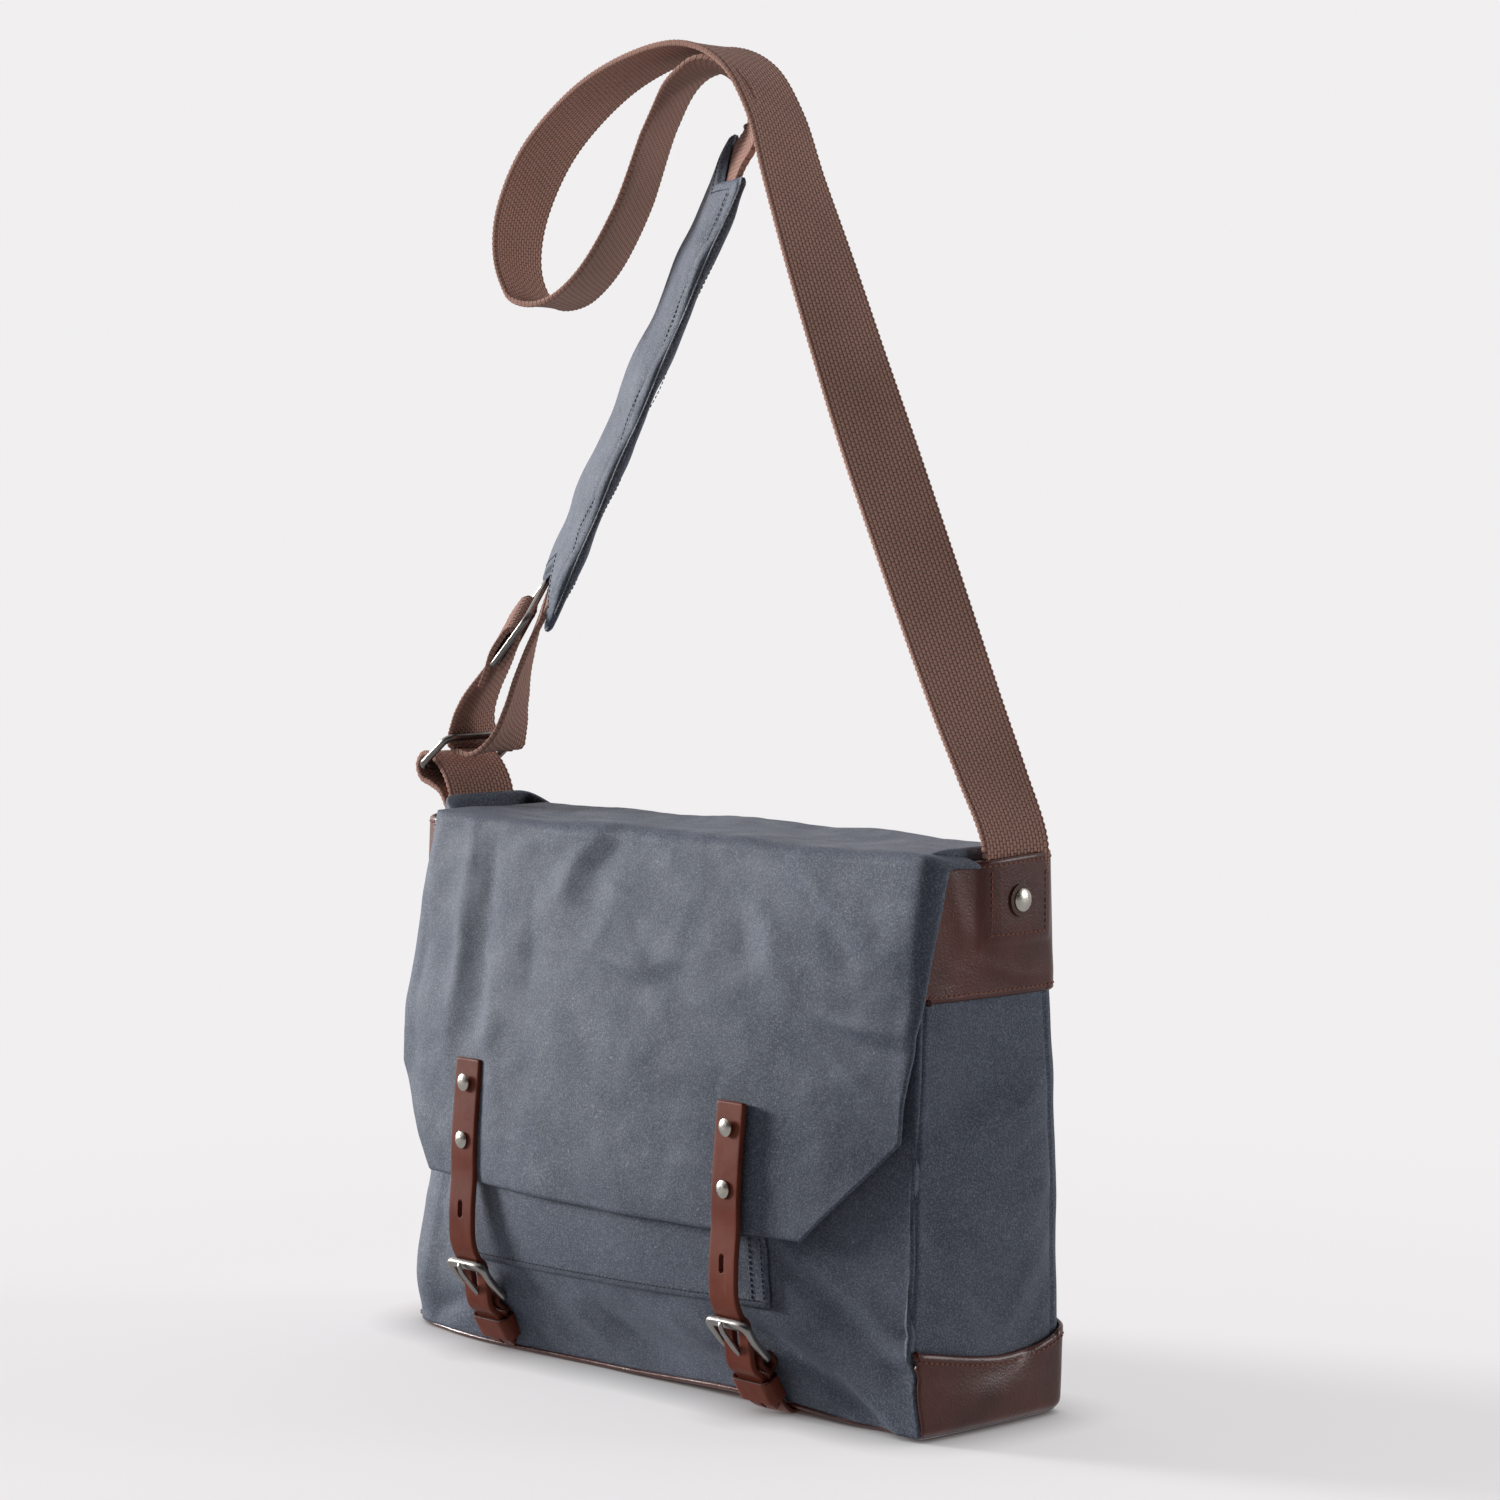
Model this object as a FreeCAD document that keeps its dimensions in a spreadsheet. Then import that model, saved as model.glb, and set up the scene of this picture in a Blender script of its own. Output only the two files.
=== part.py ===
"""Messenger bag: waxed cotton body and flap, leather base, closure straps, buckles, webbing shoulder strap.

Frame: +X to the bag's right gusset, the front faces -Y, +Z up, origin under the middle of the base.
All sizes are millimetres. The driving ones are in the spreadsheet "Sizes".
"""
import FreeCAD, Part
import math
import os

V = FreeCAD.Vector
doc = FreeCAD.newDocument("messenger_bag")

# ---------------------------------------------------------------- driving dimensions

SIZES = {
    "bag_width": 360, "bag_height": 250, "base_depth": 92, "front_bulge": 25, "back_bulge": 6,
    "cloth": 2.4, "leather": 2.2, "lining": 0.8, "board": 2.0, "base_wrap": 39,
    "patch_bottom": 190, "patch_top": 249, "hem_height": 84,
    "webbing_width": 40, "webbing_thickness": 2.5, "webbing_y": 10, "swing_z": 278,
    "closure_x": 91, "closure_width": 17, "closure_thickness": 2.8,
    "frame_rod": 1.9, "frame_width": 24, "frame_length": 23, "frame_corner": 4.5,
    "prong_width": 3.0, "prong_thickness": 2.4, "keeper_length": 12, "keeper_wall": 1.6,
    "rivet_shank": 2.0, "rivet_cap": 4.0, "rivet_dome": 1.6,
    "washer_radius": 7.2, "washer_thickness": 1.8,
    "pad_length": 245, "pad_width": 54, "pad_thickness": 11, "pad_wall": 1.3,
    "ring_rod": 1.8, "ring_width": 46, "slider_rod": 1.8, "slider_length": 34,
    "pocket_half_width": 106, "pocket_bottom": 50, "pocket_top": 196,
    "inner_pocket_width": 220, "inner_pocket_height": 140,
}

sheet = doc.addObject("Spreadsheet::Sheet", "Sizes")
for row, (alias, value) in enumerate(SIZES.items(), start=1):
    sheet.set(f"A{row}", alias)
    sheet.set(f"B{row}", str(value))
    sheet.setAlias(f"B{row}", alias)
doc.recompute()


def size(alias):
    """A driving dimension, as the spreadsheet holds it."""
    return float(getattr(sheet, alias))


SLACK = 0.4          # air between neighbouring pieces
HALF_WIDTH = size("bag_width") / 2
PANEL_HALF_WIDTH = HALF_WIDTH - size("cloth") - SLACK
MOUTH_Z = size("bag_height") - 4
SIDES = (("left", -1), ("right", 1))
nodes = []

# ---------------------------------------------------------------- the body's shape

# Heights as shares of the bag's height, with the front corner's depth and the bulge as shares of
# half the base depth and of the largest bulge: narrow at the seam, full at a third, thin at the mouth.
FRONT_STATIONS = ((0.012, 0.957, 0.03), (0.08, 1.022, 0.25), (0.16, 1.076, 0.6), (0.336, 1.065, 1.0),
                  (0.52, 1.022, 0.97), (0.76, 0.957, 0.64), (0.984, 0.826, 0.03))
BACK_STATIONS = ((0.012, 1.0, 0.12), (0.16, 1.022, 0.6), (0.48, 0.978, 1.0), (0.76, 0.88, 0.7),
                 (0.984, 0.826, 0.12))


def stations(front):
    """(height, corner depth, bulge) of one face, bottom to top, in millimetres."""
    table = FRONT_STATIONS if front else BACK_STATIONS
    bulge = size("front_bulge") if front else size("back_bulge")
    half_depth = size("base_depth") / 2
    return [(z * size("bag_height"), y * half_depth, b * bulge) for z, y, b in table]


def corner_and_bulge(z, front=True):
    """Corner depth and bulge of one face at height z, straight between the stations."""
    table = stations(front)
    for (z0, y0, b0), (z1, y1, b1) in zip(table, table[1:]):
        if z <= z1 or z1 == table[-1][0]:
            share = (z - z0) / (z1 - z0)
            return y0 + share * (y1 - y0), b0 + share * (b1 - b0)


def face_y(x, z, proud=0.0, front=True):
    """Where a face's outside lies, moved out by proud."""
    corner, bulge = corner_and_bulge(z, front)
    depth = corner + bulge * (1 - (x / PANEL_HALF_WIDTH) ** 2) + proud
    return -depth if front else depth


# ---------------------------------------------------------------- ways of making a piece

def name_node(feature, label):
    """Give a finished sub-part the name of its node."""
    feature.Label = label
    nodes.append(feature)
    return feature


def new_body(name):
    return doc.addObject("PartDesign::Body", name)


def new_sketch(body, name, role, offset=0.0, expression=None):
    """A sketch on one of the body's own planes, moved along that plane's normal."""
    sketch = body.newObject("Sketcher::SketchObject", name)
    plane = [f for f in body.Origin.OriginFeatures if f.Role == role][0]
    sketch.AttachmentSupport = [(plane, "")]
    sketch.MapMode = "FlatFace"
    sketch.AttachmentOffset = FreeCAD.Placement(V(0, 0, offset), FreeCAD.Rotation())
    if expression:
        sketch.setExpression("AttachmentOffset.Base.z", expression)
    return sketch


def polygon_edges(points):
    """Straight edges round a closed outline given as (u, v) pairs."""
    corners = [V(u, v, 0) for u, v in points]
    return [Part.LineSegment(a, b) for a, b in zip(corners, corners[1:] + corners[:1])]


def rectangle(u0, v0, u1, v1):
    return polygon_edges([(u0, v0), (u1, v0), (u1, v1), (u0, v1)])


def circle(u, v, radius):
    return [Part.Circle(V(u, v, 0), V(0, 0, 1), radius)]


def pad(body, name, role, edges, length, offset=0.0, offset_expression=None):
    """Pad an outline by a length, which may be a number or an expression on the sheet."""
    sketch = new_sketch(body, name + "_outline", role, offset, offset_expression)
    sketch.addGeometry(edges, False)
    feature = body.newObject("PartDesign::Pad", name)
    feature.Profile = sketch
    if isinstance(length, str):
        feature.setExpression("Length", length)
    else:
        feature.Length = length
    return feature


def pocket(body, name, role, edges, length, offset=0.0):
    """Cut an outline out of the body, along the plane's normal from offset."""
    sketch = new_sketch(body, name + "_outline", role, offset)
    sketch.addGeometry(edges, False)
    feature = body.newObject("PartDesign::Pocket", name)
    feature.Profile = sketch
    feature.Length = length
    feature.Reversed = True
    return feature


def strip_edges(route, thickness):
    """Closed outline of a strip that follows straight runs joined by the largest arcs they allow."""
    points = [V(u, v, 0) for u, v in route]
    centre = [(points[0], side_of(points[1] - points[0]))]
    arcs = []
    for before, at, after in zip(points, points[1:], points[2:]):
        come, go = (at - before), (after - at)
        cut = 0.45 * min(come.Length, go.Length)
        come.normalize()
        go.normalize()
        start, end = at - come * cut, at + go * cut
        turn = come.getAngle(go)
        radius = cut / math.tan(turn / 2)
        inward = go - come
        inward.normalize()
        middle = at + inward * (radius / math.cos(turn / 2) - radius)
        bisector = side_of(come) + side_of(go)
        bisector.normalize()
        arcs.append(len(centre))
        centre += [(start, side_of(come)), (middle, bisector), (end, side_of(go))]
    centre.append((points[-1], side_of(points[-1] - points[-2])))
    edges = []
    ends = []
    for sign in (1, -1):
        shifted = [p + n * (sign * thickness / 2) for p, n in centre]
        at = 0
        for first in arcs:
            edges.append(Part.LineSegment(shifted[at], shifted[first]))
            edges.append(Part.Arc(*shifted[first:first + 3]))
            at = first + 2
        edges.append(Part.LineSegment(shifted[at], shifted[-1]))
        ends.append((shifted[0], shifted[-1]))
    edges.append(Part.LineSegment(ends[0][0], ends[1][0]))
    edges.append(Part.LineSegment(ends[0][1], ends[1][1]))
    return edges


def side_of(direction):
    """The unit normal to the left of a direction in the sketch plane."""
    left = V(-direction.y, direction.x, 0)
    left.normalize()
    return left


def bent_band(body, name, heights, half_widths, near, far, front=True):
    """Loft a curved sheet up a face of the bag: near and far are its inside and outside, out from the face."""
    sketches = []
    for number, (z, half_width) in enumerate(zip(heights, half_widths)):
        outer = [V(x, face_y(x, z, far, front), 0) for x in (-half_width, 0, half_width)]
        inner = [V(x, face_y(x, z, near, front), 0) for x in (-half_width, 0, half_width)]
        sketch = new_sketch(body, f"{name}_{number}", "XY_Plane", z)
        sketch.addGeometry([bowed(outer), Part.LineSegment(outer[2], inner[2]),
                            bowed(inner), Part.LineSegment(inner[0], outer[0])], False)
        sketches.append(sketch)
    loft = body.newObject("PartDesign::AdditiveLoft", name)
    loft.Profile = sketches[0]
    loft.Sections = sketches[1:]
    loft.Ruled = True
    return loft


def bowed(points):
    """An arc through three points."""
    return Part.Arc(*points)


def cut(name, base, tools):
    """Base without the tools, as one Part::Cut."""
    group = doc.addObject("Part::Compound", name + "_tools")
    group.Links = tools
    result = doc.addObject("Part::Cut", name)
    result.Base = base
    result.Tool = group
    return result


def turned_about_x(x, y, z, degrees):
    return FreeCAD.Placement(V(x, y, z), FreeCAD.Rotation(V(1, 0, 0), degrees))


# ---------------------------------------------------------------- body of the bag

def station_heights(front, low, high):
    inside = [z for z, _, _ in stations(front) if low < z < high]
    return [low] + inside + [high]


def body_panels():
    """Front and back cloth: curved sheets between the gussets."""
    for label, front in (("front_panel", True), ("back_panel", False)):
        body = new_body(label)
        heights = station_heights(front, stations(front)[0][0], MOUTH_Z)
        bent_band(body, label + "_sheet", heights, [PANEL_HALF_WIDTH] * len(heights),
                  -size("cloth"), 0.0, front)
        name_node(body, label)


def side_outline(low, high, inset=0.0):
    """Outline of the bag seen from the side, as (y, z), between two heights."""
    front = [(-corner_and_bulge(z)[0] + inset, z) for z in station_heights(True, low, high)]
    back = [(corner_and_bulge(z, False)[0] - inset, z) for z in station_heights(False, low, high)]
    return polygon_edges(front + back[::-1])


def gussets():
    """Side cloth, full depth, standing on the base's leather and reaching just over the patches."""
    for side, sign in SIDES:
        body = new_body(f"gusset_{side}_sheet")
        start = HALF_WIDTH - size("cloth") if sign > 0 else -HALF_WIDTH
        pad(body, f"gusset_{side}_pad", "YZ_Plane",
            side_outline(stations(True)[0][0], size("bag_height") + 1), "Sizes.cloth", start)
        name_node(cut(f"gusset_{side}_cut", body, [patch_hole(side, sign)]), f"gusset_{side}")


def base():
    """Leather base: a sole with an end turned up over each gusset, and a stiff board inside."""
    body = new_body("base_leather")
    half_depth = size("base_depth") / 2
    reach = HALF_WIDTH + SLACK + size("leather")
    pad(body, "sole", "XY_Plane", rectangle(-reach, -half_depth + 2, reach, half_depth), "Sizes.leather")
    for side, sign in SIDES:
        start = HALF_WIDTH + SLACK if sign > 0 else -reach
        pad(body, f"end_{side}", "YZ_Plane", side_outline(size("leather"), size("base_wrap")),
            "Sizes.leather", start)
    name_node(body, "base_leather")

    board = doc.addObject("Part::Box", "base_board")
    board.setExpression("Length", "Sizes.bag_width - 16")
    board.setExpression("Width", "Sizes.base_depth - 14")
    board.setExpression("Height", "Sizes.board")
    board.setExpression("Placement.Base.x", "-(Sizes.bag_width - 16) / 2")
    board.setExpression("Placement.Base.y", "-(Sizes.base_depth - 14) / 2")
    board.setExpression("Placement.Base.z", "Sizes.leather + 0.4")
    name_node(board, "base_board")


def lining():
    """Thin cloth box inside the panels and gussets, over the board, open at the mouth."""
    gap = size("cloth") + SLACK
    floor_z = size("leather") + size("board") + 2 * SLACK
    shells = []
    for name, inward in (("lining_outside", gap), ("lining_inside", gap + size("lining"))):
        body = new_body(name)
        low = floor_z + (inward - gap)
        high = MOUTH_Z - 4 + (inward - gap)
        heights = [low] + [z for z, _, _ in stations(True) if low + 1 < z < high - 1] + [high]
        half_width = PANEL_HALF_WIDTH - 3 * SLACK - (inward - gap)
        sketches = []
        for number, z in enumerate(heights):
            front = [V(x, face_y(x, z, -inward), 0) for x in (-half_width, 0, half_width)]
            back = [V(x, face_y(x, z, -inward, False), 0) for x in (-half_width, 0, half_width)]
            sketch = new_sketch(body, f"{name}_{number}", "XY_Plane", z)
            sketch.addGeometry([bowed(front), Part.LineSegment(front[2], back[2]),
                                bowed(back), Part.LineSegment(back[0], front[0])], False)
            sketches.append(sketch)
        loft = body.newObject("PartDesign::AdditiveLoft", name + "_loft")
        loft.Profile = sketches[0]
        loft.Sections = sketches[1:]
        loft.Ruled = True
        shells.append(body)
    shell = doc.addObject("Part::Cut", "lining")
    shell.Base, shell.Tool = shells
    name_node(shell, "lining")


def pockets():
    """Patch pocket on the front, and a slip pocket flat on the lining of the back."""
    body = new_body("front_pocket")
    heights = station_heights(True, size("pocket_bottom"), size("pocket_top"))
    bent_band(body, "front_pocket_sheet", heights, [size("pocket_half_width")] * len(heights), SLACK, 1.6)
    name_node(body, "front_pocket")

    inner = new_body("inner_pocket")
    inside = -(size("cloth") + size("lining") + 2 * SLACK)
    heights = station_heights(False, 70, 70 + size("inner_pocket_height"))
    bent_band(inner, "inner_pocket_sheet", heights, [size("inner_pocket_width") / 2] * len(heights),
              inside - 1.4, inside - 0.4, front=False)
    name_node(inner, "inner_pocket")


# ---------------------------------------------------------------- anchors on the gussets

ANCHOR_LOW = 214           # lower end of the webbing sewn under each patch
STUB_TOP = size("swing_z") - size("webbing_width") / 2 - SLACK
WASHER_Z = 231


def patch_hole(side, sign):
    """A hole along X for the rivet of one gusset's patch."""
    hole = doc.addObject("Part::Cylinder", f"patch_hole_{side}")
    hole.setExpression("Radius", "Sizes.rivet_shank + 0.2")
    hole.Height = 30
    start = V(sign * HALF_WIDTH - hole.Height.Value / 2, size("webbing_y"), WASHER_Z)
    hole.Placement = FreeCAD.Placement(start, FreeCAD.Rotation(V(0, 1, 0), 90))
    return hole


def anchors():
    """Leather patch over the sewn webbing end on each gusset, with a rivet on a leather washer."""
    half = size("webbing_width") / 2
    y = size("webbing_y")
    for side, sign in SIDES:
        def outward(near, thickness):
            """Start of a pad that lies from near to near + thickness out from the gusset."""
            return HALF_WIDTH + near if sign > 0 else -HALF_WIDTH - near - thickness

        webbing = size("webbing_thickness")
        stub = new_body(f"webbing_end_{side}_sheet")
        pad(stub, f"webbing_end_{side}_pad", "YZ_Plane",
            rectangle(y - half, ANCHOR_LOW + 2, y + half, STUB_TOP), "Sizes.webbing_thickness",
            outward(SLACK, webbing))

        patch = new_body(f"gusset_patch_{side}_sheet")
        pad(patch, f"patch_sheet_{side}", "YZ_Plane", side_outline(size("patch_bottom"), size("patch_top")),
            "Sizes.leather", outward(SLACK, size("leather")))
        raised = 2.6
        pad(patch, f"patch_raised_{side}", "YZ_Plane",
            rectangle(y - half - 3, ANCHOR_LOW - 2, y + half + 3, size("patch_top")),
            raised, outward(SLACK + size("leather"), raised))
        recess = webbing + SLACK
        pocket(patch, f"patch_recess_{side}", "YZ_Plane",
               rectangle(y - half - 0.5, ANCHOR_LOW + 1.5, y + half + 0.5, size("patch_top") + 5),
               recess + SLACK, outward(0, recess + SLACK))

        for label, sheet_body in ((f"webbing_end_{side}", stub), (f"gusset_patch_{side}", patch)):
            name_node(cut(label + "_cut", sheet_body, [patch_hole(side, sign)]), label)

        face = SLACK + size("leather") + raised
        washer = new_body(f"patch_washer_{side}")
        pad(washer, f"patch_washer_{side}_disc", "YZ_Plane",
            circle(y, WASHER_Z, size("washer_radius")) + circle(y, WASHER_Z, size("rivet_shank") + 0.2),
            "Sizes.washer_thickness", outward(face, size("washer_thickness")))
        name_node(washer, f"patch_washer_{side}")

        grip = face + size("washer_thickness") + size("cloth") + SLACK
        rivet = rivet_body(f"patch_rivet_{side}", grip, cap=1.25)
        tip = HALF_WIDTH + face + size("washer_thickness")
        rivet.Placement = FreeCAD.Placement(V(sign * tip, y, WASHER_Z),
                                            FreeCAD.Rotation(V(0, 1, 0), 90 * sign))
        name_node(rivet, f"patch_rivet_{side}")


def rivet_body(name, grip, cap=1.0):
    """A domed rivet on +Z: the cap's underside is at 0, the burr starts grip below it."""
    radius = size("rivet_cap") * cap
    shank = size("rivet_shank")
    rim = 0.5
    burr, burr_radius = 0.6, shank * 1.5
    corners = [V(radius, rim, 0), V(radius, 0, 0), V(shank, 0, 0), V(shank, -grip, 0),
               V(burr_radius, -grip, 0), V(burr_radius, -grip - burr, 0), V(0, -grip - burr, 0),
               V(0, size("rivet_dome"), 0)]
    edges = [Part.LineSegment(a, b) for a, b in zip(corners, corners[1:])]
    bow = V(radius * 0.6, rim + (size("rivet_dome") - rim) * 0.72, 0)
    edges.append(Part.Arc(corners[-1], bow, corners[0]))
    body = new_body(name)
    sketch = new_sketch(body, name + "_outline", "XZ_Plane")
    sketch.addGeometry(edges, False)
    turn = body.newObject("PartDesign::Revolution", name + "_turned")
    turn.Profile = sketch
    turn.ReferenceAxis = (sketch, ["V_Axis"])
    turn.Angle = 360
    return body


# ---------------------------------------------------------------- flap

FLAP_GAP = 3.8             # from the front panel's face to the flap's lining, over the pocket
FLAP_LINING = 0.8
FLAP_CLOTH = 1.8
FLAP_FACE = FLAP_GAP + FLAP_LINING + FLAP_CLOTH + 0.1
FLAP_TOP_Z = size("bag_height") + 2
REAR_FOLD = (size("base_depth") / 2 * 0.826 + 1, FLAP_TOP_Z + 1)
FRONT_FOLD = (-(size("base_depth") / 2 * 0.826 + FLAP_GAP + 1.3), FLAP_TOP_Z + 1)
HEM_HALF_WIDTH = 122
FLAP_HALF_WIDTH = 171
CHAMFER_Z = 127


def flap():
    """Flap of two layers: the top lies over the mouth, the front hangs to a hem with cut-off corners."""
    holes = [rivet_hole(sign * size("closure_x"), z) for _, sign in SIDES for z in RIVET_HEIGHTS]
    layers = (("flap_lining_front", FLAP_GAP, FLAP_GAP + FLAP_LINING, 1.5),
              ("flap_front", FLAP_GAP + FLAP_LINING + 0.1, FLAP_FACE, 0.0))
    for label, near, far, inset in layers:
        body = new_body(label + "_sheet")
        low = size("hem_height") + inset
        heights = [low, CHAMFER_Z] + [z for z, _, _ in stations(True) if CHAMFER_Z + 5 < z < MOUTH_Z - 3]
        heights.append(MOUTH_Z - 1)
        widths = [HEM_HALF_WIDTH - inset] + [FLAP_HALF_WIDTH - inset] * (len(heights) - 1)
        bent_band(body, label + "_loft", heights, widths, near, far)
        name_node(cut(label + "_cut", body, holes), label)

    front_y, rear_y = FRONT_FOLD[0] + 5.5, REAR_FOLD[0] - 4
    rear_half, shoulder_y = 158, -16
    for label, low, thickness, inset in (("flap_lining_top", FLAP_TOP_Z - 0.1 - FLAP_LINING, FLAP_LINING, 1.5),
                                         ("flap_top", FLAP_TOP_Z, FLAP_CLOTH, 0.0)):
        half = FLAP_HALF_WIDTH - inset
        rear = rear_half - inset
        outline = [(-half, front_y), (half, front_y), (half, shoulder_y - 4), (rear, shoulder_y + 4),
                   (rear, rear_y), (-rear, rear_y), (-rear, shoulder_y + 4), (-half, shoulder_y - 4)]
        body = new_body(label)
        pad(body, label + "_sheet", "XY_Plane", polygon_edges(outline), thickness, low)
        name_node(body, label)


RIVET_HEIGHTS = (130, 103)


def rivet_hole(x, z):
    """A hole along Y for a closure strap's rivet."""
    hole = doc.addObject("Part::Cylinder", f"strap_hole_{'r' if x > 0 else 'l'}_{z}")
    hole.setExpression("Radius", "Sizes.rivet_shank + 0.2")
    hole.Height = 40
    hole.Placement = FreeCAD.Placement(V(x, face_y(x, z) + 12, z), FreeCAD.Rotation(V(1, 0, 0), 90))
    return hole


# ---------------------------------------------------------------- closure straps and buckles

HEEL = V(0, -60.0, 26.5)       # heel bar's centre, in the plane of a closure strap
TOP_BAR = V(0, -75.5, 43.5)    # front bar's centre
ALONG = (TOP_BAR - HEEL).normalize()
OUTWARD = V(0, -ALONG.z, ALONG.y)
TILT = math.degrees(math.atan2(ALONG.z, ALONG.y))
KEEPER = V(0, -56.2, 13.0)
KEEPER_ALONG = V(0, 0.49, -0.87)
KEEPER_OUT = V(0, -0.87, -0.49)
ANCHOR_THICKNESS = 2.6
EYE_INNER, EYE_OUTER = 2.15, 3.5
FOLD_INNER, FOLD_OUTER, FOLD_WIDTH = 2.15, 4.0, 16


def in_plane(point):
    return point.y, point.z


def closure_face_y(z):
    """Y of a closure strap's outer face where it lies on the flap; its inner edge touches first."""
    inner_edge = size("closure_x") - size("closure_width") / 2
    return face_y(inner_edge, z, FLAP_FACE + SLACK + 0.2 + size("closure_thickness"))


def closure_route():
    """Centre line of a closure strap in its own Y-Z plane, from its square top to the tail's end."""
    half = size("closure_thickness") / 2
    route = [(closure_face_y(z) + half, z) for z in (141, 116, 86)]
    clear = size("frame_rod") + SLACK + size("closure_thickness") / 2
    behind_top_bar = TOP_BAR - OUTWARD * clear
    over_heel = HEEL + OUTWARD * (FOLD_OUTER + 3 * SLACK + size("closure_thickness") / 2)
    in_keeper = KEEPER + KEEPER_OUT * (size("closure_thickness") / 2 + 0.2)
    stops = [behind_top_bar, over_heel, in_keeper - KEEPER_ALONG * 5, in_keeper + KEEPER_ALONG * 9]
    return route + [(-76.6, 64)] + [in_plane(p) for p in stops]


def slot_tool(name, x, y, z, length, degrees):
    """A slot through a strap: as wide as a prong needs, length along the strap."""
    slot = doc.addObject("Part::Box", name)
    slot.setExpression("Length", "Sizes.prong_width + 1.4")
    slot.Width = 12
    slot.Height = length
    turn = FreeCAD.Rotation(V(1, 0, 0), degrees)
    middle = V((size("prong_width") + 1.4) / 2, 6, length / 2)
    slot.Placement = FreeCAD.Placement(V(x, y, z) - turn.multVec(middle), turn)
    return slot


def closure_straps():
    """Leather straps riveted to the flap, with slots for the prong, and their rivets."""
    crossing = HEEL + ALONG * 7.5 + OUTWARD * 3.4
    for side, sign in SIDES:
        x = sign * size("closure_x")
        body = new_body(f"closure_strap_{side}_sheet")
        pad(body, f"closure_{side}", "YZ_Plane", strip_edges(closure_route(), size("closure_thickness")),
            "Sizes.closure_width", x - size("closure_width") / 2)
        tools = [slot_tool(f"free_slot_{side}", x, -76.6, 70.2, 8, 0),
                 slot_tool(f"prong_slot_{side}", x, crossing.y, crossing.z, 19, -22)]
        tools += [rivet_hole(x, z) for z in RIVET_HEIGHTS]
        name_node(cut(f"closure_strap_{side}_cut", body, tools), f"closure_strap_{side}")

        rivets = []
        for number, z in enumerate(RIVET_HEIGHTS, start=1):
            outer_y = closure_face_y(z) - SLACK
            grip = face_y(x, z, FLAP_GAP - 2.5 * SLACK) - outer_y
            rivet = rivet_body(f"closure_rivet_{side}_{number}", grip)
            rivet.Placement = turned_about_x(x, outer_y, z, 90)
            rivets.append(rivet)
        pair = doc.addObject("Part::Compound", f"closure_rivets_{side}")
        pair.Links = rivets
        name_node(pair, f"closure_rivets_{side}")


def rounded_ring(body, name, half_width, length, corner, rod, bars=()):
    """A rod bent to a rounded rectangle in X-Y, its lower side centred on the origin, with cross bars."""
    middle = half_width - corner
    k = corner * (1 - math.sqrt(0.5))
    spine = new_sketch(body, name + "_spine", "XY_Plane")
    stops = [V(0, 0, 0), V(middle, 0, 0), V(half_width, corner, 0), V(half_width, length - corner, 0),
             V(middle, length, 0), V(-middle, length, 0), V(-half_width, length - corner, 0),
             V(-half_width, corner, 0), V(-middle, 0, 0)]
    bends = {1: V(half_width - k, k, 0), 3: V(half_width - k, length - k, 0),
             5: V(-half_width + k, length - k, 0), 7: V(-half_width + k, k, 0)}
    for number, (a, b) in enumerate(zip(stops, stops[1:] + stops[:1])):
        edge = Part.Arc(a, bends[number], b) if number in bends else Part.LineSegment(a, b)
        spine.addGeometry([edge], False)
    section = new_sketch(body, name + "_section", "YZ_Plane")
    section.addGeometry(circle(0, 0, rod), False)
    pipe = body.newObject("PartDesign::AdditivePipe", name)
    pipe.Profile = section
    pipe.Spine = (spine, [f"Edge{n + 1}" for n in range(len(stops))])
    for number, y in enumerate(bars):
        pad(body, f"{name}_bar_{number}", "YZ_Plane", circle(y, 0, rod), 2 * half_width, -half_width)
    return pipe


def buckles():
    """Heel-bar buckles: a rod frame, and a prong that turns on the heel bar."""
    for side, sign in SIDES:
        x = sign * size("closure_x")
        place = turned_about_x(x, HEEL.y, HEEL.z, TILT)
        frame = new_body(f"buckle_frame_{side}")
        rounded_ring(frame, f"buckle_rod_{side}", size("frame_width") / 2, size("frame_length"),
                     size("frame_corner"), size("frame_rod"))
        frame.Placement = place
        name_node(frame, f"buckle_frame_{side}")

        prong = new_body(f"buckle_prong_{side}")
        width = size("prong_width")
        pad(prong, f"prong_eye_{side}", "YZ_Plane", circle(0, 0, EYE_OUTER), "Sizes.prong_width", -width / 2)
        half = size("prong_thickness") / 2
        lift = size("frame_rod") + 0.25 + half
        start_lift = EYE_OUTER - half * 0.8
        tip = size("frame_length") + 3.2
        pad(prong, f"prong_arm_{side}", "YZ_Plane",
            polygon_edges([(0.5, start_lift - half * 0.8), (tip, lift - half), (tip + 0.6, lift),
                           (tip, lift + half * 0.6), (0.5, start_lift + half * 0.8)]),
            "Sizes.prong_width", -width / 2)
        pocket(prong, f"prong_bore_{side}", "YZ_Plane", circle(0, 0, EYE_INNER), width + 2, -width / 2 - 1)
        prong.Placement = place
        name_node(prong, f"buckle_prong_{side}")


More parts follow.
